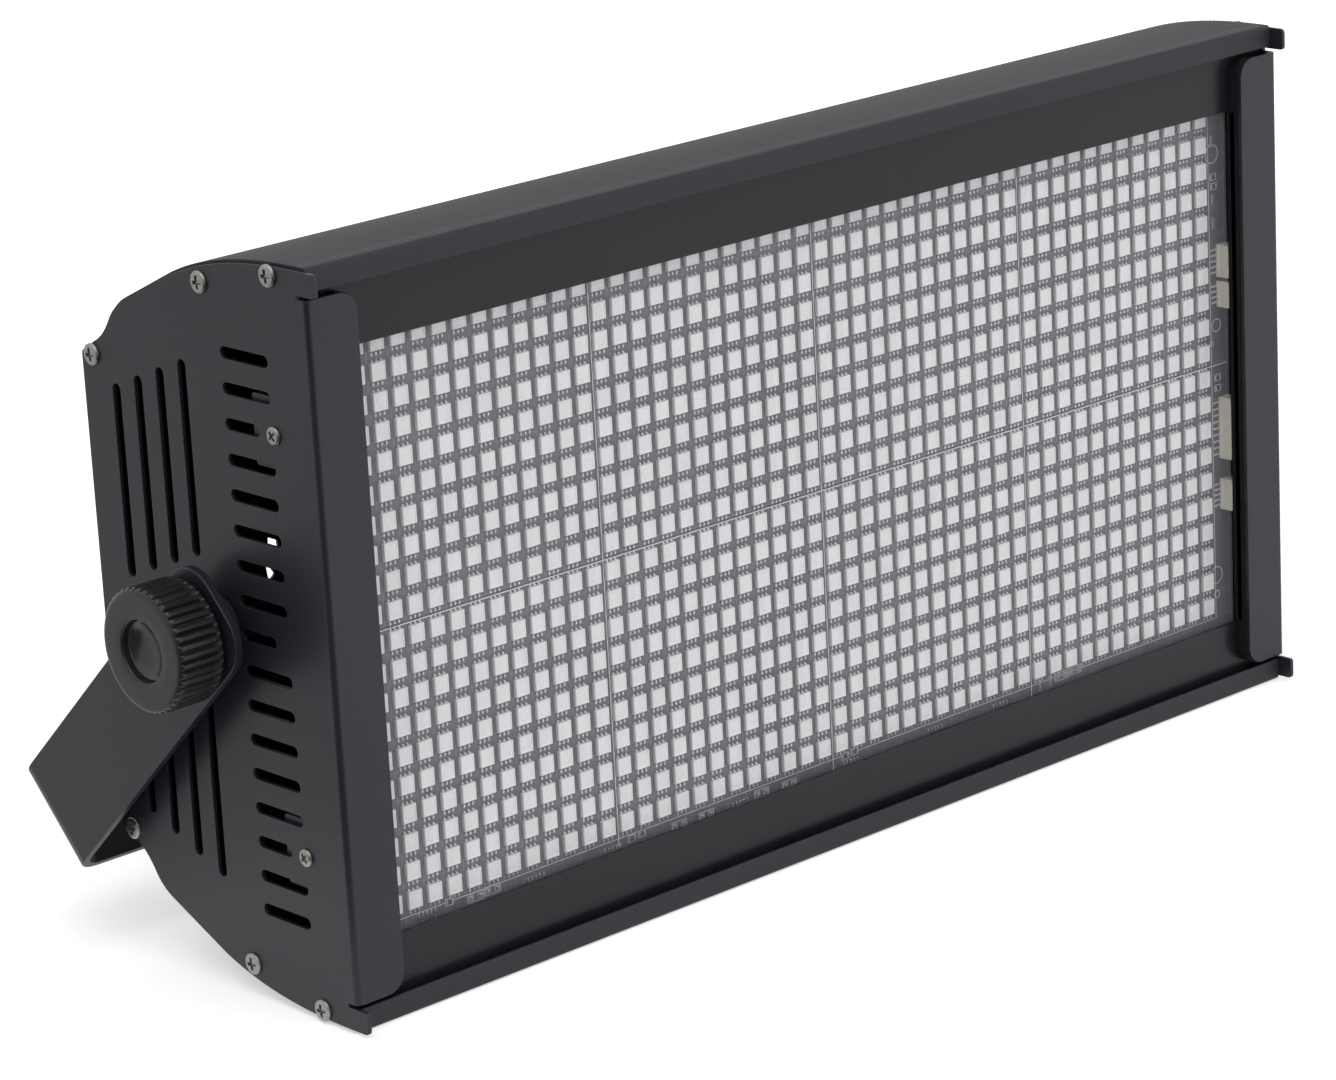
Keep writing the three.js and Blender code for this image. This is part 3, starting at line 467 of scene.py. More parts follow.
def brushed(name, dark, light, stretch=(40, 3000, 3000), rough=(0.3, 0.5)):
    """Bare metal with fine lines along one way."""
    material, tree, inputs = shader(name, Metallic=1.0)
    lines = noise(tree, mapped(tree, object_place(tree), Scale=stretch), 1.0, 4.0, 0.6)
    edge = add(tree, "ShaderNodeGroup", {"Reach": 0.0003, "Amount": 0.5}, node_tree=WEAR).outputs
    base = mixed(tree, ranged(tree, lines, 0, 1), dark, light)
    colour = mixed(tree, edge["Mask"], base, tuple(min(1, 1.4 * part) for part in light))
    dress(tree, inputs, colour, lines, rough, 0.15)
    return material


def lamp_material(name, low, high, rough):
    """White LED housings: each lamp is a little different from the next. The lamps' sides take a darker copy of
    the white plastic, which is painted shade.
    """
    material, tree, inputs = shader(name)
    place = object_place(tree)
    cells = mapped(tree, place, Location=(0.5 - LAMP_MIDDLE_X / 1000, 0, 0.5),
                   Scale=(1000 / LAMP_PITCH_X, 1, 1000 / LAMP_PITCH_Z))
    cell = add(tree, "ShaderNodeVectorMath", {0: cells}, operation="FLOOR").outputs["Vector"]
    own = add(tree, "ShaderNodeTexWhiteNoise", {"Vector": cell}).outputs["Value"]
    fine = noise(tree, place, 1400.0)
    mask = maths(tree, "ADD", maths(tree, "MULTIPLY", own, 0.7), maths(tree, "MULTIPLY", fine, 0.3))
    dress(tree, inputs, mixed(tree, mask, low, high), fine, rough, 0.15)
    return material


def board_material():
    """Dark LED board: faint weave, and fine copper runs under the mask beside each lamp."""
    material, tree, inputs = shader("led_board_mask")
    place = object_place(tree)
    centred = mapped(tree, place, Location=(LAMP_MIDDLE_X / -1000, 0, (CLAMP_Z - LAMP_MIDDLE_Z) / 1000))
    split = add(tree, "ShaderNodeSeparateXYZ", {"Vector": centred}).outputs
    column = maths(tree, "FRACT", maths(tree, "MULTIPLY", split["X"], 1000 / LAMP_PITCH_X))
    row = maths(tree, "FRACT", maths(tree, "MULTIPLY", split["Z"], 1000 / LAMP_PITCH_Z))
    lines = None
    for part, middle, half in ((column, 0.085, 0.022), (row, 0.04, 0.014), (row, 0.955, 0.010)):
        gap = maths(tree, "ABSOLUTE", maths(tree, "SUBTRACT", part, middle))
        run = maths(tree, "LESS_THAN", gap, half)
        lines = maths(tree, "MAXIMUM", lines, run) if lines else run
    weave = noise(tree, place, 900.0, 3.0, 0.6)
    patch = noise(tree, place, 22.0, 3.0, 0.5)
    colour = mixed(tree, ranged(tree, patch, 0, 1), (0.042, 0.0405, 0.056), (0.056, 0.054, 0.073))
    colour = mixed(tree, maths(tree, "MULTIPLY", lines, 0.55), colour, (0.15, 0.155, 0.18))
    edge = add(tree, "ShaderNodeGroup", {"Reach": 0.0004, "Break Scale": 60.0, "Amount": 0.8}, node_tree=WEAR)
    colour = mixed(tree, edge.outputs["Mask"], colour, (0.42, 0.43, 0.46))
    relief = maths(tree, "ADD", maths(tree, "MULTIPLY", lines, 0.8), weave)
    dress(tree, inputs, colour, weave, (0.38, 0.55), 0.3, relief)
    return material


def cover_material():
    """Clear cover: nearly unseen, with a soft haze and faint smears."""
    material, tree, inputs = shader("clear_cover")
    skin = {"Grain Scale": 300.0, "Patch Scale": 9.0, "Patch Share": 0.8}
    tone = add(tree, "ShaderNodeGroup", skin, node_tree=GRAIN).outputs["Tone"]
    dress(tree, inputs, mixed(tree, tone, (0.76, 0.78, 0.85), (0.85, 0.86, 0.89)), tone, (0.06, 0.14), 0.02)
    fill(tree, inputs["Alpha"], ranged(tree, tone, 0.050, 0.075))
    return material


def foam_material():
    material, tree, inputs = shader("black_cell_foam", Specular_IOR_Level=0.25)
    cells = add(tree, "ShaderNodeTexVoronoi", {"Vector": object_place(tree), "Scale": 1500})
    depth = ranged(tree, cells.outputs["Distance"], 0, 1, 0.0, 0.9)
    colour = mixed(tree, depth, (0.0035, 0.0035, 0.004), (0.009, 0.009, 0.010))
    dress(tree, inputs, colour, depth, (0.85, 1.0, 0, 1), 0.6, distance=0.0002)
    return material


SHEET_PAINT = coated("sheet_paint", (0.0155, 0.0147, 0.0212), (0.0195, 0.0187, 0.0262), (0.050, 0.050, 0.060),
                     rough=(0.30, 0.42), relief=0.15, specular=0.32)
PROFILE_PAINT = coated("profile_paint", (0.0225, 0.0225, 0.0275), (0.0285, 0.0285, 0.0338),
                       (0.085, 0.088, 0.088), rough=(0.52, 0.64), patch=8.0, relief=0.2, specular=0.27)
TRIM_PAINT = coated("trim_paint", (0.0105, 0.0105, 0.0142), (0.0140, 0.0140, 0.0182), (0.03, 0.03, 0.034),
                    rough=(0.24, 0.34), wear=0.2, relief=0.12, specular=0.24)
KNOB_PLASTIC = coated("knob_plastic", (0.0130, 0.0134, 0.0136), (0.0170, 0.0175, 0.0175), (0.05, 0.05, 0.05),
                      rough=(0.28, 0.40), grain=1800.0, relief=0.3, specular=0.38)
CAP_PLASTIC = coated("cap_plastic", (0.020, 0.020, 0.021), (0.026, 0.026, 0.027), (0.05, 0.05, 0.05),
                     rough=(0.20, 0.30), grain=1800.0, relief=0.12)
SOCKET_PLASTIC = coated("socket_plastic", (0.010, 0.010, 0.011), (0.015, 0.015, 0.016), (0.035, 0.035, 0.036),
                        rough=(0.35, 0.5), grain=1500.0, relief=0.3)
CREAM_PLASTIC = coated("cream_plastic", (0.55, 0.52, 0.42), (0.63, 0.60, 0.50), (0.72, 0.70, 0.62),
                       rough=(0.4, 0.55), grain=900.0, relief=0.1, wear=0.3)
GREEN_BOARD = coated("green_board_mask", (0.010, 0.085, 0.030), (0.014, 0.115, 0.042), (0.10, 0.16, 0.08),
                     rough=(0.3, 0.45), grain=500.0, wear=0.3)
WHITE_INK = coated("white_ink", (0.62, 0.64, 0.66), (0.74, 0.76, 0.78), (0.8, 0.8, 0.8), rough=(0.5, 0.7),
                   grain=1200.0, wear=0.0)
RED_GLASS = coated("display_red_glass", (0.030, 0.002, 0.002), (0.045, 0.004, 0.004), (0.09, 0.02, 0.02),
                   rough=(0.06, 0.12), relief=0.02, wear=0.2)
RED_DIGIT = coated("display_red_digit", (0.22, 0.010, 0.008), (0.30, 0.015, 0.012), (0.3, 0.03, 0.03),
                   rough=(0.2, 0.3), wear=0.0)
SOLDER = brushed("solder", (0.55, 0.56, 0.58), (0.78, 0.79, 0.80), (900, 900, 900))
ZINC = brushed("zinc_plate", (0.25, 0.245, 0.23), (0.38, 0.37, 0.35), (1200, 1200, 1200))
BRASS = brushed("brass_pins", (0.55, 0.42, 0.20), (0.72, 0.57, 0.30), (900, 900, 900), (0.25, 0.4))
STEEL = brushed("turned_steel", (0.45, 0.45, 0.45), (0.62, 0.62, 0.61), (3000, 60, 60))
ALUMINIUM = brushed("mill_aluminium", (0.55, 0.56, 0.57), (0.70, 0.71, 0.72))
BOARD_INK = board_material()
LAMP_WHITE = lamp_material("lamp_housing_white", (0.78, 0.78, 0.77), (0.86, 0.86, 0.85), (0.35, 0.55))
# the lamps' sides: the same white plastic made darker grey, as painted shade on their walls
LAMP_SIDE_SHADED = lamp_material("lamp_side_grey", (0.46, 0.46, 0.475), (0.56, 0.56, 0.57), (0.35, 0.55))
LAMP_GEL = lamp_material("lamp_gel", (0.77, 0.77, 0.745), (0.86, 0.86, 0.845), (0.2, 0.4))
CLEAR, FOAM = cover_material(), foam_material()
SLOTS = {
    "black_metal": (SHEET_PAINT, PROFILE_PAINT, TRIM_PAINT), "foam": (FOAM,), "clear_plastic": (CLEAR,),
    "black_plastic": (KNOB_PLASTIC, CAP_PLASTIC, SOCKET_PLASTIC), "steel": (ZINC, BRASS, STEEL),
    "led_board": (BOARD_INK, LAMP_WHITE, LAMP_SIDE_SHADED, LAMP_GEL, SOLDER, WHITE_INK, CREAM_PLASTIC),
    "display_glass": (RED_GLASS, RED_DIGIT), "green_board": (GREEN_BOARD,), "aluminium": (ALUMINIUM,),
}
SLOT_OF = {material.name: slot for slot, materials in SLOTS.items() for material in materials}


# ---- camera, light, floor
def set_camera():
    data = bpy.data.cameras.new("photo_view")
    data.sensor_width, data.lens = 36, 129.51
    data.clip_start, data.clip_end = 0.05, 60
    camera = show("photo_view", data)
    right, up = Vector((0.7303508, -0.6812074, -0.0504406)), Vector((0.2328786, 0.1788976, 0.9559096))
    place = Matrix((right, up, right.cross(up))).transposed().to_4x4()
    place.translation = (-1.115546, -1.288037, 0.555390)
    camera.matrix_world = place
    bpy.context.scene.camera = camera


def seen(tree):
    """1 for the rays that show the background: the camera's own, and those in gloss and glass."""
    path = tree.nodes.new("ShaderNodeLightPath").outputs
    either = maths(tree, "MAXIMUM", path["Is Camera Ray"], path["Is Glossy Ray"])
    return maths(tree, "MAXIMUM", either, path["Is Transmission Ray"])


def set_light():
    scene = bpy.context.scene
    scene.view_settings.view_transform = "Standard"
    scene.world = bpy.data.worlds.new("studio")
    scene.world.use_nodes = True
    tree = scene.world.node_tree
    tree.nodes.clear()
    plain = add(tree, "ShaderNodeBackground", {"Color": (0.97, 0.98, 1.0), "Strength": 0.62})
    white = add(tree, "ShaderNodeBackground", {"Color": (1, 1, 1), "Strength": 1.0})
    mix = add(tree, "ShaderNodeMixShader", {0: seen(tree), 1: plain.outputs[0], 2: white.outputs[0]})
    add(tree, "ShaderNodeOutputWorld", {0: mix.outputs[0]})
    for name, strength, angle, aim in (
        ("soft_top", 0.80, 50, (0.25, 0.35, -1.0)),
        ("soft_left", 0.12, 60, (1.0, 0.25, -0.35)),
        ("soft_front", 0.54, 60, (-0.646, 0.743, -0.174)),
    ):
        data = bpy.data.lights.new(name, "SUN")
        data.energy, data.angle = strength, math.radians(angle)
        show(name, data).rotation_euler = Vector(aim).to_track_quat("-Z", "Y").to_euler()


def set_floor():
    work = bmesh.new()
    bmesh.ops.create_circle(work, cap_ends=True, segments=96, radius=14)
    for vertex in work.verts:
        vertex.co.z += cad_box[0][2] - 0.0002
    floor = show("floor", closed(work))
    material, tree, inputs = shader("white_floor", Base_Color=(0.93, 0.93, 0.93), Roughness=0.9,
                                    Specular_IOR_Level=0.1, Emission_Color=(1, 1, 1))
    fill(tree, inputs["Emission Strength"], maths(tree, "MULTIPLY", seen(tree), 0.45))
    floor.data.materials.append(material)


def set_card(name, near, first, last, glow):
    """A mat on the floor, raised at its far end, that shows in gloss alone and shapes the folds."""
    low = cad_box[0][2] + 0.0004
    rows = [(near, low), (0.8, low), (1.6, low), (2.6, low + 0.02), (3.0, low + 0.25), (3.1, low + 0.9)]
    turns = [math.radians(turn) for turn in range(first, last + 1, 5)]
    points = [(reach * math.cos(turn), reach * math.sin(turn), height)
              for reach, height in rows for turn in turns]
    wide = len(turns)
    corners = [r * wide + i for r in range(len(rows) - 1) for i in range(wide - 1)]
    mesh = bpy.data.meshes.new(name)
    mesh.from_pydata(points, [], [(k, k + 1, k + 1 + wide, k + wide) for k in corners])
    card = show(name, mesh)
    material, _, _ = shader(name, Base_Color=(0.006, 0.006, 0.007), Roughness=1.0, Specular_IOR_Level=0.0,
                            Emission_Color=(1, 1, 1), Emission_Strength=glow)
    mesh.materials.append(material)
    card.visible_camera = card.visible_diffuse = card.visible_shadow = card.visible_transmission = False


set_camera()
set_light()
set_floor()
set_card("dark_card", 0.36, 180, 250, 0.0)
set_card("grey_card", 0.25, 100, 180, 0.8)


# ---- end plates
CROWN = curve_points((10.04, 126), (50.45, 126), (75.05, 115.04), 26)
SHOULDER = curve_points((101.03, 102.82), (105.55, 100.67), (108.56, 96.52), 8)
STEP = curve_points((108.56, 96.52), (114.46, 86.56), (125.5, 83.16), 10)
ROOF = CROWN + SHOULDER + STEP[1:]
FOLD = 2.0
FOLD_MIDDLE = FOLD - SHEET / 2
FOLD_START = FLANGE_FRONT + FOLD
FOLD_LENGTH = FOLD_MIDDLE * QUARTER
FLANGE_END = FOLD_START - FOLD_LENGTH - (FLANGE_WIDTH - FOLD)


def plate_outline():
    """The plate before folding: (way from front to rear, height), with the flange unrolled to the front."""
    upper = [
        (FLANGE_END, 0.0), *arc(FLANGE_END + 7, FLANGE_TOP - 7, 7, math.pi, QUARTER, 9),
        (9.3, FLANGE_TOP), (9.5, FLANGE_TOP + 0.3), (9.5, 118.0), (9.3, 118.2),
        *curve_points((1.5, 118.2), (0.0, 118.2), (0.0, 119.7), 5),
        *curve_points((0.0, 124.1), (0.0, 126.0), (1.9, 126.0), 7),
        *ROOF[:-1], *curve_points((124.3, 83.6), (125.5, 83.1), (125.5, 81.8), 3),
    ]
    return (upper + [(y, -z) for y, z in reversed(upper[1:])])[::-1]


def plate_slots():
    slots = []
    for row in range(17):
        z = (8 - row) * 11.768
        slots.append(slot_points(33.0 if row in (2, 8, 14) else 26.2, z, 50.4, z, 4.0))
    for i in range(4):
        y, outer, inner = 71.5 + i * 12.15, 88.3 - i * 4.67, 22.4 - i * 4.67
        slots += [slot_points(y, inner, y, outer, 4.2), slot_points(y, -outer, y, -inner, 4.2)]
    return slots + [ring_points(PIVOT_Y, 0, 4.3, 24)]


def make_end_plate(side, name):
    def rule(way, height, out):
        """Sends the unrolled plate round its front fold."""
        if way >= FOLD_START or abs(height) > 117.6:
            return side * (HALF_LENGTH - SHEET / 2 + out), way, height
        turn, reach = (FOLD_START - way) / FOLD_MIDDLE, FOLD_MIDDLE + out
        if turn < QUARTER:
            x, y = HALF_LENGTH - FOLD + reach * math.cos(turn), FOLD_START - reach * math.sin(turn)
            return side * x, y, height
        along = FOLD_START - FOLD_LENGTH - way
        return side * (HALF_LENGTH - FOLD - along), FOLD_START - reach, height

    mesh = flat_sheet([plate_outline(), *plate_slots()], SHEET, 0.22)
    bent(mesh, rule, [FOLD_START - FOLD_LENGTH * k / 7 for k in range(8)])
    make(f"{name}_plate_folded", mesh, SHEET_PAINT, [f"{name}_end_plate"], angle=40)


for side, name in SIDES:
    make_end_plate(side, name)


# ---- profiles, trims, cover, foam
RIB_PITCH, RIB_DEPTH, RIB_STEPS = 2.0, 0.11, 10
RIB_SHAPE = {7: 0.4, 8: 1.0, 9: 1.0, 0: 0.4}


def profile_outline():
    """Section of a profile: front lip, fluted crown, shoulder and rear hook."""
    outer = moved(ROOF, 1.0)
    crown = spaced(outer[:len(CROWN)], RIB_PITCH / RIB_STEPS)
    depths = [RIB_SHAPE.get(i % RIB_STEPS, 0.0) * RIB_DEPTH if RIB_STEPS <= i <= len(crown) - 12 else 0.0
              for i in range(len(crown))]
    fluted = moved(crown, *(-depth for depth in depths))
    last, brow = outer[-1], fluted[0][1]
    inner = [point for point in moved(ROOF, 1.0 - 2.2) if 16.2 < point[0] < 120.6][::-1]
    front = curve_points((LIP_FRONT, brow - 1.5), (LIP_FRONT, brow), (LIP_FRONT + 1.5, brow), 6)
    outline = [(LIP_FRONT, LIP_BOTTOM), *front, *fluted, *outer[len(CROWN):-1],
               (126.0, last[1]), (126.0, 75.96), (124.8, 75.96), (124.8, 79.96), (123.0, 79.96),
               (123.0, 75.96), (121.8, 75.96), *inner, (16.1, inner[-1][1]), (16.1, LIP_BOTTOM - 2),
               (14.4, LIP_BOTTOM - 2), (14.4, GROOVE_TOP), (7.2, GROOVE_TOP), (7.2, LIP_BOTTOM)]
    return rounded_path(outline, 0.35, 2)


def make_front():
    """The two profiles, the trim bands over and under the window, and the clear cover."""
    deep = GROOVE_TOP - 0.3
    for up, name in EDGES:
        mesh = swept(profile_outline(), -INNER_END, INNER_END, lambda y, z, x, up=up: (x, y, up * z))
        make(f"{name}_profile_fluted", mesh, PROFILE_PAINT, [f"{name}_profile"], angle=34, flat=False)
    for up, name in EDGES:
        low, high = (WINDOW_TOP, deep) if up > 0 else (-deep, WINDOW_BOTTOM)
        mesh = block(-INNER_END, INNER_END, TRIM_FRONT, TRIM_BACK, low, high, 0.25)
        make(f"{name}_trim_strip", mesh, TRIM_PAINT, [f"{name}_trim"])
    cover = block(-209.7, 209.7, COVER_FRONT, COVER_BACK, -deep, deep, 0.25)
    make("front_cover_sheet", cover, CLEAR, ["front_cover"])


def make_foam(side, name):
    """Foam strip behind the flange, cut to the flange's outline."""
    edge, far, top = 210.15, 216.3, FLANGE_TOP - 0.2
    outline = [(far, -top), *arc(edge + 5, 5 - top, 5, 3 * QUARTER, math.pi, 8),
               *arc(edge + 5, top - 5, 5, math.pi, QUARTER, 8), (far, top)]
    middle = (6.1 + TRIM_FRONT - 0.1) / 2
    lip = bent(flat_sheet([outline], TRIM_FRONT - 6.2, 0.3), lambda x, z, out: (side * x, middle - out, z))
    thick = block(*sorted((side * edge, side * far)), 8.0, COVER_FRONT + 0.1,
                  WINDOW_BOTTOM + 0.2, WINDOW_TOP - 0.2, 0.3)
    piece = make(f"{name}_foam_seal", joined(lip, thick), FOAM, [f"{name}_foam_strip"])


make_front()
for side, name in SIDES:
    make_foam(side, name)


# ---- what repeats, by Geometry Nodes
def copies_tree(name, sizes, points):
    """Sets copies of one small piece on points(tree, given), and gives them their finish."""
    inputs = {"Geometry": "Geometry", **sizes, "Piece": "Object", "Turn": "Vector", "Finish": "Material"}
    tree, given = new_group(name, "GeometryNodeTree", inputs, {"Geometry": "Geometry"})
    source = add(tree, "GeometryNodeObjectInfo", {"Object": given["Piece"]}).outputs["Geometry"]
    copies = add(tree, "GeometryNodeInstanceOnPoints",
                 {"Points": points(tree, given), "Instance": source, "Rotation": given["Turn"]})
    real = add(tree, "GeometryNodeRealizeInstances", {"Geometry": copies.outputs["Instances"]})
    values = {"Geometry": real.outputs["Geometry"], "Material": given["Finish"]}
    coat = add(tree, "GeometryNodeSetMaterial", values)
    add(tree, "NodeGroupOutput", {"Geometry": coat.outputs["Geometry"]})
    return tree


def lattice_points(tree, given):
    """An even lattice that faces the window."""
    def across(count, pitch):
        return maths(tree, "MULTIPLY", maths(tree, "SUBTRACT", given[count], 1.0), given[pitch])

    grid = add(tree, "GeometryNodeMeshGrid", {
        "Size X": across("Columns", "Pitch Across"), "Size Y": across("Rows", "Pitch Up"),
        "Vertices X": given["Columns"], "Vertices Y": given["Rows"]})
    stand = add(tree, "GeometryNodeTransform", {
        "Geometry": grid.outputs["Mesh"], "Translation": given["Middle"], "Rotation": (QUARTER, 0, 0)})
    return stand.outputs["Geometry"]


LATTICE = copies_tree("even lattice", {"Columns": "Int", "Rows": "Int", "Pitch Across": "Float",
                                       "Pitch Up": "Float", "Middle": "Vector"}, lattice_points)
PLACES = copies_tree("listed places", {}, lambda tree, given: given["Geometry"])


def grown(name, small, points, tree, **values):
    """Copies of a small mesh, drawn in millimetres, set by a tree and kept as one plain mesh."""
    small.transform(Matrix.Scale(0.001, 4))
    source = show("one_" + name, small)
    host = bpy.data.meshes.new("places")
    host.from_pydata(points, [], [])
    piece = show(name, host)
    modifier = piece.modifiers.new("copies", "NODES")
    modifier.node_group = tree
    values["piece"] = source
    for item in tree.interface.items_tree:
        key = item.name.replace(" ", "_").lower()
        if item.in_out == "INPUT" and key in values:
            modifier[item.identifier] = values[key]
    settle(piece)
    bpy.data.objects.remove(source)
    return piece


# ---- lamps
def stepped(*levels):
    """A closed box of square rings: (half width, half height, depth under the lamp's face)."""
    corners = ((1, 1), (-1, 1), (-1, -1), (1, -1))
    return stacked([[(sx * half_x, LAMP_FACE + depth, sz * half_z) for sx, sz in corners]
                    for half_x, half_z, depth in levels])


def lamp_side():
    """Lower part of a surface-mounted LED, with the groove under its face."""
    foot = BOARD_FRONT - LAMP_FACE
    return stepped((2.9, 3.05, foot + INK_FOOT), (2.95, 3.1, foot - 0.1), (2.95, 3.1, 0.85), (2.55, 2.7, 0.75),
                   (2.55, 2.7, 0.3))


def lamp_face():
    """Its white face, sunk round the gel."""
    return stepped((2.75, 2.9, 0.62), (2.9, 3.05, 0.5), (2.9, 3.05, 0.2), (2.72, 2.87, 0), (2.33, 2.48, 0),
                   (2.18, 2.33, 0.2))


def lamp_gel():
    return stacked([[(x, LAMP_FACE + depth, z) for x, z in ring_points(0, 0, radius, 12)]
                    for radius, depth in ((2.05, 0.24), (2.05 * 0.94, 0.12))])


def lamp_leads(upper):
    """Three mounds of solder: against the lamp's upper side, or a little below its lower one."""
    shift, z, half_x, half_z, height, lean = (
        (0.0, 3.42, 0.50, 0.62, 0.75, -0.15) if upper else (0.25, -4.45, 0.44, 0.72, 0.40, 0.0))
    work, turns = bmesh.new(), [FULL * k / 8 for k in range(8)]
    for x in (i * LEAD_PITCH + shift for i in (-1, 0, 1)):
        stacked([[(x + share * half_x * math.cos(turn), BOARD_FRONT - rise * height,
                   z + lean * rise + share * half_z * math.sin(turn)) for turn in turns]
                 for share, rise in ((1.0, -0.03), (0.92, 0.45), (0.55, 0.9))], work)
    return closed(work)


def make_lamps():
    for name, small, material in (
        # the sides' darker copy of the white plastic is painted shade
        ("lamp_sides", lamp_side(), LAMP_SIDE_SHADED), ("lamp_faces", lamp_face(), LAMP_WHITE),
        ("lamp_gels", lamp_gel(), LAMP_GEL), ("lamp_solder_upper", lamp_leads(True), SOLDER),
        ("lamp_solder_lower", lamp_leads(False), SOLDER),
    ):
        field = grown(name, small, [(0, 0, 0)], LATTICE, columns=48, rows=20, finish=material,
                      pitch_across=LAMP_PITCH_X / 1000, pitch_up=LAMP_PITCH_Z / 1000,
                      middle=tuple(at(LAMP_MIDDLE_X, 0, LAMP_MIDDLE_Z)))
        finish(field, "led_board", flat=False)


# ---- boards and what is soldered to them
# Parts along the lower and right board edges, by their middles (x, z)
EDGE_PARTS = {
    "pins": [(-188.2, -101.4), (-140.4, -103.0), (-105.6, -103.0), (-45.6, -103.4), (8.8, -103.4),
             (51.9, -102.9), (86.1, -102.9)],
    "chip": [(-178.2, -99.6), (-96.6, -101.0), (-91.8, -100.6), (6.4, -99.9), (11.2, -99.4), (209.2, 71.8),
             (209.4, 68.2), (209.8, -5.4), (209.9, -9.4)],
    "box": [(-166.8, -101.2), (-159.4, -100.8), (-74.3, -102.6), (-61.5, -102.6), (-34.9, -102.0),
             (-21.3, -102.6), (119.4, -99.8), (126.8, -99.4)],
    "pad": [(107.6, -100.6), (113.4, -100.4), (208.9, 63.2), (209.0, 54.2), (208.6, 85.4)],
}
CONNECTORS = [(33.5, 46.0, 5), (22.0, 32.0, 4), (-37.0, -13.0, 9), (-57.0, -45.0, 5)]
BOARD_RINGS = [(209.6, 14.9, 2.6), (206.9, 8.2, 1.0), (208.6, 80.6, 3.6), (207.2, -82.6, 3.4),
               (207.4, -90.2, 1.6)]
INK_HEIGHT, INK_LINE, BOARD_GAP = 0.04, 0.22, 0.15


def on_board(x0, x1, z0, z1, height=INK_HEIGHT):
    """A flat box on the boards' front, its foot a hair inside."""
    return x0, x1, BOARD_FRONT - height, BOARD_FRONT + INK_FOOT, z0, z1


def pad_at(x, z, half_x, half_z, height):
    return on_board(x - half_x, x + half_x, z - half_z, z + half_z, height)


def ink_frame(x, z, width, height):
    """Four ink lines round a part."""
    x0, x1, z0, z1 = x - width / 2, x + width / 2, z - height / 2, z + height / 2
    return [on_board(x0, x1, z0, z0 + INK_LINE), on_board(x0, x1, z1 - INK_LINE, z1),
            on_board(x0, x0 + INK_LINE, z0, z1), on_board(x1 - INK_LINE, x1, z0, z1)]


def pin_heights():
    """The contacts of the connectors, each with its own height on the board."""
    return [low + 1.9 + (high - low - 3.8) * k / (count - 1)
            for low, high, count in CONNECTORS for k in range(count)]


def make_boards():
    """Eight boards, each with a hair of room to the next."""
    for row, up in ((1, 1), (2, -1)):
        for column in (1, 2, 3, 4):
            left = -BOARD_SIDE if column == 1 else (column - 3) * BOARD_CELL + BOARD_GAP
            right = BOARD_SIDE if column == 4 else (column - 2) * BOARD_CELL - BOARD_GAP
            low, high = sorted((up * BOARD_GAP, up * BOARD_EDGE))
            mesh = block(left, right, BOARD_FRONT, BOARD_BACK, low, high, 0.2, 1)
            place = f"row_{row}_column_{column}"
            make(f"led_board_plate_{place}", mesh, BOARD_INK, [f"led_board_{place}"])


def make_board_parts():
    ink = [on_board(-205.6, 205.6, -99.62, -99.38), on_board(206.45, 206.7, -99.5, 99.5),
           on_board(-215.2, 215.2, -0.62, -0.22)]
    ink += [on_board(k * BOARD_CELL + 0.22, k * BOARD_CELL + 0.55, -106.5, 106.5) for k in (-1, 0, 1)]
    pads, chips = [], []
    for kind, x, z in ((kind, x, z) for kind, places in EDGE_PARTS.items() for x, z in places):
        if kind == "pins":
            chips.append(on_board(x - 4.2, x + 4.2, z - 1.1, z + 0.5, 0.9))
            for middle in (x + (k - 2) * 1.75 for k in range(5)):
                pads += [pad_at(middle, z + rise, 0.34, 0.625, 0.5) for rise in (1.075, -1.675)]
        elif kind == "chip":
            ink += ink_frame(x, z, 3.6, 2.6)
            chips.append(pad_at(x, z, 0.75, 0.65, 0.45))
            pads += [pad_at(x + way * 1.1, z, 0.34, 0.7, 0.35) for way in (-1, 1)]
        elif kind == "box":
            ink += ink_frame(x, z, 7.2, 3.2) + ink_frame(x - 2.0, z, 2.4, 1.9) + ink_frame(x + 2.0, z, 2.4, 1.9)
            pads += [pad_at(x + way * 2.0, z, 0.6, 0.5, 0.3) for way in (-1, 1)]
        else:
            pads.append(pad_at(x, z, 0.75, 2.2, 0.25))
    pads += [on_board(206.9, 210.6, z - 0.35, z + 0.35, 0.45) for z in pin_heights()]
    for name, boxes, material, soft in (
        ("board_ink_lines", ink, WHITE_INK, 0.0), ("board_pads", pads, SOLDER, 0.1),
        ("board_chips", chips, SOCKET_PLASTIC, 0.08),
    ):
        make(name, small_blocks(boxes, soft), material, slot="led_board", flat=False)
    rings = []
    for x, z, radius in BOARD_RINGS:
        flat = flat_sheet([ring_points(0, 0, radius, 28), ring_points(0, 0, radius - 0.28, 28)], 0.08, 0.02)
        rings.append(bent(flat, lambda a, b, c, x=x, z=z: (x + a, BOARD_FRONT - 0.03 - c, z + b)))
    make("board_ink_rings", joined(*rings), WHITE_INK, flat=False)


def make_connectors():
    """Cream wire-to-board sockets on the outer edge of the right-hand boards."""
    front, foot = BOARD_FRONT - 5.8, BOARD_FRONT
    outline = [(210.5, foot), (210.5, front + 0.4), (210.9, front)]
    for x in (211.7, 213.5):
        outline += [(x, front), (x, front + 0.35), (x + 0.6, front + 0.35), (x + 0.6, front)]
    outline += [(214.9, front), (215.3, front + 0.4), (215.3, foot)]
    bodies = []
    for low, high, _ in CONNECTORS:
        bodies.append(swept(outline, low + 0.7, high - 0.7))
        bodies += [block(210.2, 215.5, front + 0.2, foot, end, end + 0.8, 0.15, 2) for end in (low, high - 0.8)]
        bodies.append(block(210.0, 210.7, foot - 1.4, foot, low, high, 0.15, 2))
    notches = [(214.35, 215.42, front + 0.9, front + 2.6, z - 0.45, z + 0.45) for z in pin_heights()]
    make("board_sockets", joined(*bodies), CREAM_PLASTIC)
    make("board_socket_notches", small_blocks(notches, 0.1), SOCKET_PLASTIC, slot="led_board", flat=False)


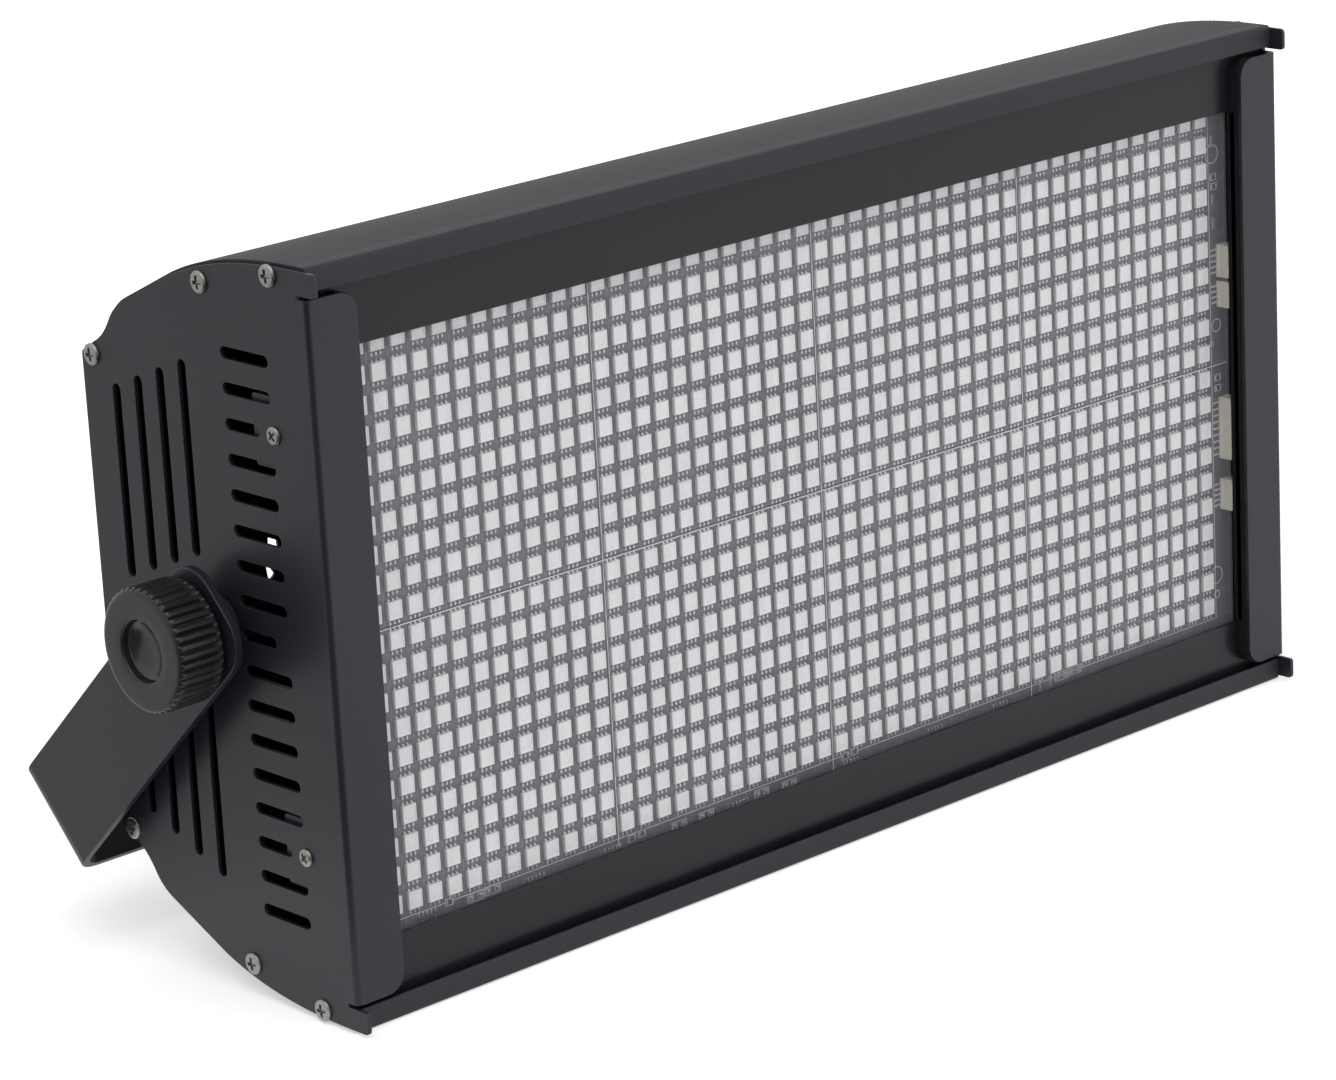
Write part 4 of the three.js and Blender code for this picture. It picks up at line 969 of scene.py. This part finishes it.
make_boards()
make_lamps()
make_board_parts()
make_connectors()


# ---- screws
def screw_head(radius, height, turned=8):
    """A low cross-head screw about its own axis, its seat at z = 0 and its cross turned by some degrees."""
    def spokes(share):
        """Where a ring has its corners: a close pair at each side of each arm of the cross, the rest spread."""
        arm, step = math.asin(min(0.16 / share, 0.70)), 0.03
        rest = QUARTER - 2 * arm - 2 * step
        own = [(-arm - step, 0), (-arm + step, 1), (-arm / 3, 1), (arm / 3, 1), (arm - step, 1),
               (arm + step, 0)]
        own += [(arm + step + rest * k / 6, 0) for k in range(1, 6)]
        return [(turn + quarter * QUARTER, deep) for quarter in range(4) for turn, deep in own]

    def dome(share):
        return height * (1.0 - 0.22 * share * share)

    levels = [(1.0, 0.0, 0), (1.0, 0.42 * height, 0), (0.965, 0.62 * height, 0), (0.90, 0.74 * height, 0)]
    levels += [(share, dome(share), 0) for share in (0.80, 0.66, 0.60)]
    levels += [(share, dome(share), 0.85 * height) for share in (0.565, 0.46, 0.36, 0.28)]
    rings = [[(radius * share * math.cos(turn), radius * share * math.sin(turn), top - deep * inside)
              for turn, inside in spokes(min(share, 0.6))] for share, top, deep in levels]
    rings.append([(radius * 0.2 * math.cos(turn), radius * 0.2 * math.sin(turn), 0.1 * height)
                  for turn, _ in spokes(0.28)])
    mesh = stacked([*rings, [(0, 0, 0.02 * height)]])
    mesh.transform(Matrix.Rotation(math.radians(turned), 4, "Z"))
    return shade(mesh, 50)


def make_screws(name, spots, head, turn, nodes=()):
    """Screws at the spots, in housing millimetres, each the same way round."""
    piece = grown(name, head, [at(*spot) for spot in spots], PLACES, turn=turn, finish=ZINC)
    finish(piece, "steel", nodes, flat=False)


EDGE_SCREWS = {"front": (22.6, 122.71), "crown": (58.2, 115.65), "rear": (119.5, 82.48)}
for side, name in SIDES:
    for kind, places, size in (("edge", EDGE_SCREWS, (3.75, 1.25, 8)),
                               ("middle", {"carrier": (CARRIER_Y, CARRIER_Z)}, (3.05, 1.15, 40))):
        make_screws(f"{name}_{kind}_screws",
                    [(side * (HALF_LENGTH + 0.1), y, up * z) for y, z in places.values() for up in (1, -1)],
                    screw_head(*size), (0, side * QUARTER, 0),
                    [f"{name}_screw_{up}_{place}" for place in places for _, up in EDGES])


# ---- yoke
YOKE_DROP, YOKE_SHEET, YOKE_WIDTH, YOKE_HEAD, YOKE_BEND = 125.5, 3.2, 39.2, 21.0, 9.5
YOKE_TILT = math.radians(-43.3)
ARM_OUTER = 242.0


def make_yoke():
    """The strap, drawn flat, bent twice, and turned about the pivot from straight behind."""
    middle, straight, arm = YOKE_BEND - YOKE_SHEET / 2, ARM_OUTER - YOKE_BEND, YOKE_DROP - YOKE_BEND
    bend = middle * QUARTER
    pivot = straight + bend + arm
    holes = [ring_points(side * pivot, 0, 4.3, 24) for side in (-1, 1)]
    holes += [ring_points(0, 0, 6.5, 40), ring_points(-60, 0, 4.25, 28), ring_points(60, 0, 4.25, 28)]
    outline = rounded_box(0, 0, 2 * (pivot + YOKE_HEAD), YOKE_WIDTH, 12.8, 10)
    mesh = flat_sheet([outline, *holes], YOKE_SHEET, 0.45, 2)

    def rule(way, across, out):
        side, way = (1 if way >= 0 else -1), abs(way)
        turn, reach = (way - straight) / middle, middle + out
        if way <= straight:
            return side * way, YOKE_DROP - YOKE_SHEET / 2 + out, across
        if turn < QUARTER:
            return side * (straight + reach * math.sin(turn)), arm + reach * math.cos(turn), across
        return side * (ARM_OUTER - YOKE_SHEET / 2 + out), arm - (way - straight - bend), across

    bent(mesh, rule, [side * (straight + bend * k / 10) for side in (-1, 1) for k in range(11)])
    mesh.transform(Matrix.Translation((0, PIVOT_Y, 0)) @ Matrix.Rotation(YOKE_TILT, 4, "X"))
    make("yoke_strap", mesh, SHEET_PAINT, ["yoke"], "yoke", angle=40)


make_yoke()


# ---- knobs, spacers, nuts
KNOB_RIDGES, KNOB_RADIUS, KNOB_HEIGHT, KNOB_SEAT = 42, 21.0, 18.0, 244.0


def knob_ripple(angle, radius, height):
    """Rounded flutes round the knob's rim."""
    if not 1.2 < height < 17.4 or radius < 19:
        return radius
    gap = abs((angle * KNOB_RIDGES / FULL) % 1.0 - 0.5)
    dip = max(0.0, 1 - gap / 0.30)
    fade = min(1.0, (height - 1.2) / 0.8, (17.4 - height) / 0.8)
    return radius - 1.5 * fade * dip * dip * (3 - 2 * dip) - 0.15 * fade * (1 - dip) * (2 * (0.5 - gap)) ** 2


def make_knob(side, name):
    body, seat = f"{name}_knob", (side * KNOB_SEAT, PIVOT_Y, 0)
    profile = [(3.6, -1.9), (12.6, -1.9), (13.0, -1.5), (13.0, 0.0), (18.6, 0.0), (19.8, 0.25), (20.6, 0.8)]
    profile += [(KNOB_RADIUS, height) for height in (1.6, 2.2, 4.5, 8.0, 12.0, 15.4, 16.3)]
    profile += [(20.75, 16.9), (20.3, 17.4), (19.7, 17.75), (19.0, 17.95), (18.2, KNOB_HEIGHT),
                (14.0, KNOB_HEIGHT), (11.2, KNOB_HEIGHT), (10.8, 17.9), (10.5, 17.6), (10.4, 17.2),
                (10.3, 11.4), (0, 11.4)]
    cap = [(0, 11.45), (10.2, 11.45), (10.2, 15.5), (10.0, 15.6), (9.7, 15.55), (9.0, 15.05), (7.6, 14.2),
           (5.8, 13.4), (3.9, 12.85), (2.0, 12.55), (0, 12.45)]
    rod, x = [(3.2, 216.0), (4.0, 216.9)], 217.2
    while x < 241.6:
        rod += [(4.0, x), (3.55, x + 0.35), (4.0, x + 0.7)]
        x += 0.9
    rod += [(4.0, 242.3), (3.9, KNOB_SEAT)]
    grip = lathe(profile, 320, seat, side, knob_ripple)
    make(f"{name}_knob_grip", grip, KNOB_PLASTIC, [body], body, angle=50, flat=False)
    make(f"{name}_knob_cap", lathe(cap, 64, seat, side), CAP_PLASTIC, (), body, angle=45, flat=False)
    make(f"{name}_knob_stud", lathe(rod, 28, (0, PIVOT_Y, 0), side), STEEL, (), body, angle=60, flat=False)


SPACER = [(4.3, 230.3), (11.6, 230.3), (12.0, 230.7), (12.0, 238.1), (11.6, 238.5), (4.3, 238.5)]
PIVOT_NUT = [(4.3, 221.7), (7.0, 221.7), (7.5, 222.1), (7.5, 227.8), (7.0, 228.2), (4.3, 228.2)]
for side, name in SIDES:
    make_knob(side, name)
    make(f"{name}_spacer_ring", lathe(SPACER, 64, (0, PIVOT_Y, 0), side), SOCKET_PLASTIC, [f"{name}_spacer"])


# ---- rear panel and what sits on it
PANEL_TOP = 79.66
FAN_X, VENT_Z, DISPLAY_Z, BUTTON_Z, FUSE_Z, EYE_Z = 146.05, 73.46, 39.96, 15.96, -14.04, 64.96
POWER_X, POWER_Z, DATA_X, DATA_Z = 57.96, -45.96, 88.09, 27.96
FACE = REAR_BACK + 0.3
OUT = FACE + 2
FAN_REAR, FAN_FRONT = REAR_FRONT - 0.3, REAR_FRONT - 15.3


def grille_slots(x):
    """Four rings of four slots, with bridges as wide on each ring."""
    slots = []
    for radius in (7.5, 13.5, 19.5, 25.5):
        bridge = math.radians(14) * 7.5 / radius
        steps = max(5, int(radius / 2.2))
        for i in range(4):
            start, end = (i + 0.5) * QUARTER + bridge, (i + 1.5) * QUARTER - bridge
            slot = arc(x, 0, radius + 2.1, start, end, steps) + arc(x, 0, radius - 2.1, end, start, steps)
            slots.append(rounded_path(slot, 0.7, 2))
    return slots


def make_rear_panel():
    """The panel with its openings, and louvre fins behind its air slots."""
    holes, fins = [], []
    louvre = [(123.4, 66.4), (123.4, 67.6), (120.0, 79.4), (119.1, 79.4)]
    for side in (-1, 1):
        x = side * FAN_X
        holes += grille_slots(x)
        for across in (x + (i - 4) * 6 for i in range(9)):
            holes += [slot_points(across, z - 3.5, across, z + 3.5, 3.6, 5) for z in (-VENT_Z, VENT_Z)]
        fins += [swept(louvre, x - 27.5, x + 27.5, lambda y, z, x, up=up: (x, y, up * z)) for up in (-1, 1)]
        holes.append(ring_points(side * DATA_X, DATA_Z, 12.1, 36))
        holes.append(rounded_box(side * POWER_X, POWER_Z, 28.1, 20.6, 0.6, 3))
    holes.append(rounded_box(0, DISPLAY_Z, 52.6, 20.6, 0.4, 3))
    holes += [ring_points((i - 1.5) * 18, BUTTON_Z, 4.3, 24) for i in range(4)]
    holes += [ring_points(0, FUSE_Z, 6.3, 28), ring_points(0, EYE_Z, 3.3, 20)]
    outline = rounded_box(0, 0, 2 * INNER_END, 2 * PANEL_TOP, 0.6, 3)
    panel = stood([outline, *holes], REAR_FRONT, REAR_BACK, 0.18)
    make("rear_panel_sheet", joined(panel, *fins), SHEET_PAINT, ["rear_panel"], angle=40)


def make_display():
    """Bezel and case, red window, and four unlit digits."""
    bezel = stood([rounded_box(0, DISPLAY_Z, 58, 26, 1.6, 5), rounded_box(0, DISPLAY_Z, 50.4, 18.4, 0.8, 4)],
                  FACE, REAR_BACK + 1.5, 0.35, 2)
    case = block(-26, 26, 114.1, FACE + 0.4, DISPLAY_Z - 10, DISPLAY_Z + 10, 0.3)
    make("display_bezel", joined(bezel, case), SOCKET_PLASTIC, ["display"])
    window = block(-25.1, 25.1, FACE + 0.3, REAR_BACK + 1.05, DISPLAY_Z - 9.1, DISPLAY_Z + 9.1, 0.1)
    make("display_window", window, RED_GLASS)
    bars, front = [], REAR_BACK + 1.03
    level, upright = (2.1, 0.5), (0.5, 2.1)
    for middle in ((1.5 - digit) * 11.2 for digit in range(4)):
        for dx, dz, (half_x, half_z) in (
            (0, 5.6, level), (0, 0, level), (0, -5.6, level),
            (-3, 2.8, upright), (3, 2.8, upright), (-3, -2.8, upright), (3, -2.8, upright),
        ):
            x, z = middle + dx, DISPLAY_Z + dz
            bars.append((x - half_x, x + half_x, front - 0.2, front + 0.05, z - half_z, z + half_z))
    make("display_digits", small_blocks(bars, 0.04), RED_DIGIT, flat=False)


def make_buttons():
    profile = [(0, 118.1), (1.9, 118.1), (2.0, 118.2), (2.0, 121.9), (5.2, 122.0), (5.2, 123.0), (4.0, 123.0),
               (4.0, 126.2), (3.85, 126.6), (3.5, 126.85), (2.9, 126.97), (1.6, 126.85), (0, 126.75)]
    for i in (1, 2, 3, 4):
        body = f"menu_button_{i}"
        mesh = lathe(profile, 40, ((i - 2.5) * 18, 0, BUTTON_Z))
        make(f"{body}_cap", mesh, CAP_PLASTIC, [body], body, angle=40, flat=False)


def tray(x, z, half_x, half_z, wall, front, floor, back):
    """An open tray facing the rear, with its floor between front and floor. Its walls share no corner."""
    wide, high = half_x - 0.2, half_z - 0.2
    parts = [block(x - wide, x + wide, front + 0.1, floor, z - high, z + high, 0.15, 1)]
    for way in (-1, 1):
        parts.append(block(*sorted((x + way * half_x, x + way * (half_x - wall))), front, back,
                           z - half_z, z + half_z, 0.15, 1))
        parts.append(block(x - half_x + 0.07, x + half_x - 0.07, front + 0.05, back - 0.05,
                           *sorted((z + way * (half_z - 0.03), z + way * (half_z - wall))), 0.15, 1))
    return parts


def socket_screws(name, spots, radius):
    make_screws(f"{name}_screws", spots, screw_head(radius, 0.8), (-QUARTER, 0, 0))


def make_power_sockets():
    inlet = [rounded_box(-POWER_X, POWER_Z, 24, 16, 1.0, 3)]
    outlet = [rounded_box(POWER_X + i * 7, POWER_Z, 2.6, 4.6, 0.3, 2) for i in (-1, 0, 1)]
    kinds = (-POWER_X, "power_inlet", inlet, 110.8), (POWER_X, "power_outlet", outlet, 116.8)
    for x, name, holes, floor in kinds:
        plate = stood([rounded_box(x, POWER_Z, 50, 23, 2.5, 6), *holes], FACE, OUT, 0.35, 2)
        case = tray(x, POWER_Z, 13.75, 10, 1.75, 104.8, floor, FACE + 0.2)
        make(f"{name}_shell", joined(plate, *case), SOCKET_PLASTIC, [name])
        if x < 0:
            pins = [(pin - 1, pin + 1, 106, 120.8, POWER_Z - 2, POWER_Z + 2) for pin in (x - 7, x, x + 7)]
            make(f"{name}_pins", small_blocks(pins, 0.35), BRASS, flat=False)
        socket_screws(name, [(x + way * 20, OUT, POWER_Z) for way in (-1, 1)], 2.6)


def make_data_sockets():
    tube = [(0, -20), (11.8, -20), (11.8, -1.9), (10.0, -1.9), (10.0, -0.3), (9.9, 0.25), (9.6, 0.3),
            (9.4, 0.1), (9.4, -13.5), (9.2, -14), (0, -14)]
    core = [(0, -14.2), (8.0, -14.2), (8.0, -0.5), (7.6, -0.1), (0, -0.1)]
    pin = [(0, -14.5), (1.2, -14.5), (1.2, -7.6), (0.9, -7.1), (0, -7)]
    hole = [(0, -0.3), (1.5, -0.3), (1.5, 0.02), (1.0, 0.02), (0.95, -0.12), (0, -0.14)]
    for x, name, rod in ((-DATA_X, "data_inlet", pin), (DATA_X, "data_outlet", hole)):
        outlines = [rounded_box(x, DATA_Z, 26, 31, 2.5, 6), ring_points(x, DATA_Z, 9.9, 48)]
        parts = [stood(outlines, FACE, OUT, 0.35, 2), lathe(tube, 56, (x, OUT, DATA_Z))]
        if x > 0:
            parts.append(lathe(core, 48, (x, OUT, DATA_Z)))
        make(f"{name}_shell", joined(*parts), SOCKET_PLASTIC, [name], angle=40)
        turns = [QUARTER + i * FULL / 3 for i in range(3)]
        rods = [lathe(rod, 20, (x + 4.6 * math.cos(turn), OUT, DATA_Z + 4.6 * math.sin(turn)))
                for turn in turns]
        make(f"{name}_pins", joined(*rods), BRASS, angle=40, flat=False)
        socket_screws(name, [(x + way * 9.6, OUT, DATA_Z + way * 12.4) for way in (-1, 1)], 1.9)


def make_fuse():
    """The holder, and its cap with fine flutes and a slot for a coin."""
    holder = [(0, -22), (6.0, -22), (6.0, 0), (8.0, 0), (8.0, 1.6), (7.7, 1.9), (7.3, 2.0), (4.6, 2.0),
              (4.6, -20), (0, -20)]
    make("fuse_holder_ring", lathe(holder, 48, (0, FACE, FUSE_Z)), SOCKET_PLASTIC, ["fuse_holder"])
    low, top = FACE + 2.3, FACE + 10.3

    def ripple(angle, radius, height):
        fluted = low + 0.6 < height < top - 0.9 and radius >= 6
        return radius - 0.28 * (0.5 + 0.5 * math.cos(24 * angle)) if fluted else radius

    slot = math.asin(1.0 / 6.35)
    ring = arc(0, 0, 6.35, slot, math.pi - slot, 24)
    halves = [stood([[(x, FUSE_Z + up * z) for x, z in ring][::up]], top - 2.5, top, 0.3, 2) for up in (1, -1)]
    body = [(0, FACE - 19), (4.3, FACE - 19), (4.3, low), (6.2, low), (6.5, low + 0.3), (6.5, low + 0.7),
            (6.5, top - 3.0), (6.5, top - 2.7), (6.35, top - 2.5), (0, top - 2.5)]
    cap = joined(lathe(body, 96, (0, 0, FUSE_Z), ripple=ripple), *halves)
    make("fuse_cap_grip", cap, CAP_PLASTIC, ["fuse_cap"], "fuse_cap", angle=45, flat=False)


def make_safety_eye():
    """A ring of round rod on a turned foot."""
    rod, ring = 2, 7.5
    centre = FACE + 2.5 + rod + ring
    foot = [(0, -9), (2.7, -9), (3.0, -8.6), (3.0, 0), (6.8, 0), (7.0, 0.2), (7.0, 1.6), (6.5, 2.3),
            (4.4, 2.7), (3.1, 3.6), (3.0, 2.5 + rod), (0, 2.5 + rod)]
    section, turns = ring_points(ring, 0, rod, 16), [FULL * i / 56 for i in range(56)]
    eye = stacked([[(side, centre + reach * math.cos(turn), EYE_Z + reach * math.sin(turn))
                    for reach, side in section] for turn in turns], loop=True)
    bolt = joined(lathe(foot, 40, (0, FACE, EYE_Z)), eye)
    make("safety_eye_bolt", bolt, STEEL, ["safety_eye"], angle=45, flat=False)


# ---- fans
BLADE_FOOT, BLADE_TIP, BLADE_HALF, BLADE_SHEET, BLADE_LEAN = 10.8, 27.75, 5.9, 0.6, math.radians(40)
BLADE_STEPS = 6


def fan_blade(turn):
    """One twisted and hollowed blade, standing out along x before it is turned about the fan's axis."""
    steps, rings = range(BLADE_STEPS + 1), []
    for k in steps:
        across = -BLADE_HALF + 2 * BLADE_HALF * k / BLADE_STEPS
        bow = max(0.0, 1 - (across / BLADE_HALF) ** 2)
        ring = []
        for way in (1, -1):
            rise = 0.2 * bow + way * BLADE_SHEET * (0.35 + 0.65 * math.sqrt(bow))
            depth = -across * math.sin(BLADE_LEAN) + rise * math.cos(BLADE_LEAN)
            side = across * math.cos(BLADE_LEAN) + rise * math.sin(BLADE_LEAN)
            reach = math.sqrt(BLADE_TIP ** 2 - side ** 2) - BLADE_FOOT
            ring += [(BLADE_FOOT + reach * i / BLADE_STEPS, depth, side) for i in steps][::way]
        rings.append(ring)
    mesh = stacked(rings)
    mesh.transform(Matrix.Rotation(turn, 4, "Y"))
    return mesh


def make_fan(side, name):
    x = side * FAN_X
    screw_holes = [ring_points(x + sx * 25, sz * 25, 2.1, 16) for sx in (-1, 1) for sz in (-1, 1)]
    shell = stood([rounded_box(x, 0, 60, 60, 3, 6), ring_points(x, 0, 28.6, 72), *screw_holes],
                  FAN_FRONT, FAN_REAR, 0.4)
    hub = lathe([(0, 0), (11.6, 0), (12.0, 0.4), (12.0, 2.5), (1.5, 2.5), (1.5, 10), (0, 10)], 48,
                (x, FAN_FRONT, 0))
    struts = []
    for i in range(3):
        strut = block(10.5, 28.9, FAN_FRONT, FAN_FRONT + 2.5, -1.5, 1.5, 0.3, 2)
        strut.transform(Matrix.Translation((x, 0, 0)) @ Matrix.Rotation(i * FULL / 3, 4, "Y"))
        struts.append(strut)
    make(f"{name}_fan_shell", joined(shell, hub, *struts), SOCKET_PLASTIC, [f"{name}_fan_frame"])
    low, high = FAN_FRONT + 2.8, FAN_REAR - 2.5
    wheel = lathe([(0, high - 2.2), (1.8, high - 2.2), (1.8, low), (11.9, low), (12.0, low + 0.2),
                   (12.0, high - 1.0), (11.7, high - 0.3), (11.0, high), (0, high)], 48, (x, 0, 0))
    blades = [fan_blade(math.radians(62) + i * FULL / 5) for i in range(5)]
    for blade in blades:
        blade.transform(Matrix.Translation((x, (low + high) / 2, 0)))
    body = f"{name}_fan_rotor"
    make(f"{name}_fan_wheel", joined(wheel, *blades), SOCKET_PLASTIC, [body], body, angle=40, flat=False)


# ---- inside pieces
def make_inside():
    """The board carrier with its side tabs, the power supply's case, the control board on posts, two nuts."""
    front = BOARD_BACK + 0.3
    parts = [stood([rounded_box(0, 0, 2 * INNER_END, 218.0, 0.6, 2)], front, front + 2, 0.25)]
    for side in (-1, 1):
        middle = side * (INNER_END - 1)
        for z in (-CARRIER_Z, CARRIER_Z):
            outlines = [rounded_box(front + 9, z, 18, 24, 1.5, 4), ring_points(CARRIER_Y, z, 1.9, 18)]
            tab = flat_sheet(outlines, 2, 0.25)
            parts.append(bent(tab, lambda y, z, out, middle=middle: (middle + out, y, z)))
    make("board_carrier_sheet", joined(*parts), SHEET_PAINT, ["board_carrier"])
    back = front + 2.3
    case = block(32.0, 192.0, back, back + 38, -49, 49, 1.0, 3)
    lip = block(24.0, 200.0, back, back + 2, -49, 49, 0.4)
    make("power_supply_case", joined(case, lip), ALUMINIUM, ["power_supply"])
    low, high = 0.96, 62.96
    sheet = block(-56, 56, 112.1, 113.7, low, high, 0.15, 1)
    make("control_board_sheet", sheet, GREEN_BOARD, ["control_board"])
    post = [(0, 112.9), (3.0, 112.9), (3.0, 122.7), (2.7, 123.0), (0, 123.0)]
    posts = [lathe(post, 6, (x, 0, z)) for x in (-51, 51) for z in (low + 5, high - 5)]
    make("control_board_posts", joined(*posts), STEEL, flat=False)
    for side, name in SIDES:
        nut = lathe(PIVOT_NUT, 6, (0, PIVOT_Y, 0), side)
        make(f"{name}_pivot_nut_hex", nut, STEEL, [f"{name}_pivot_nut"])


make_rear_panel()
make_display()
make_buttons()
make_power_sockets()
make_data_sockets()
make_fuse()
make_safety_eye()
for side, name in SIDES:
    make_fan(side, name)
make_inside()
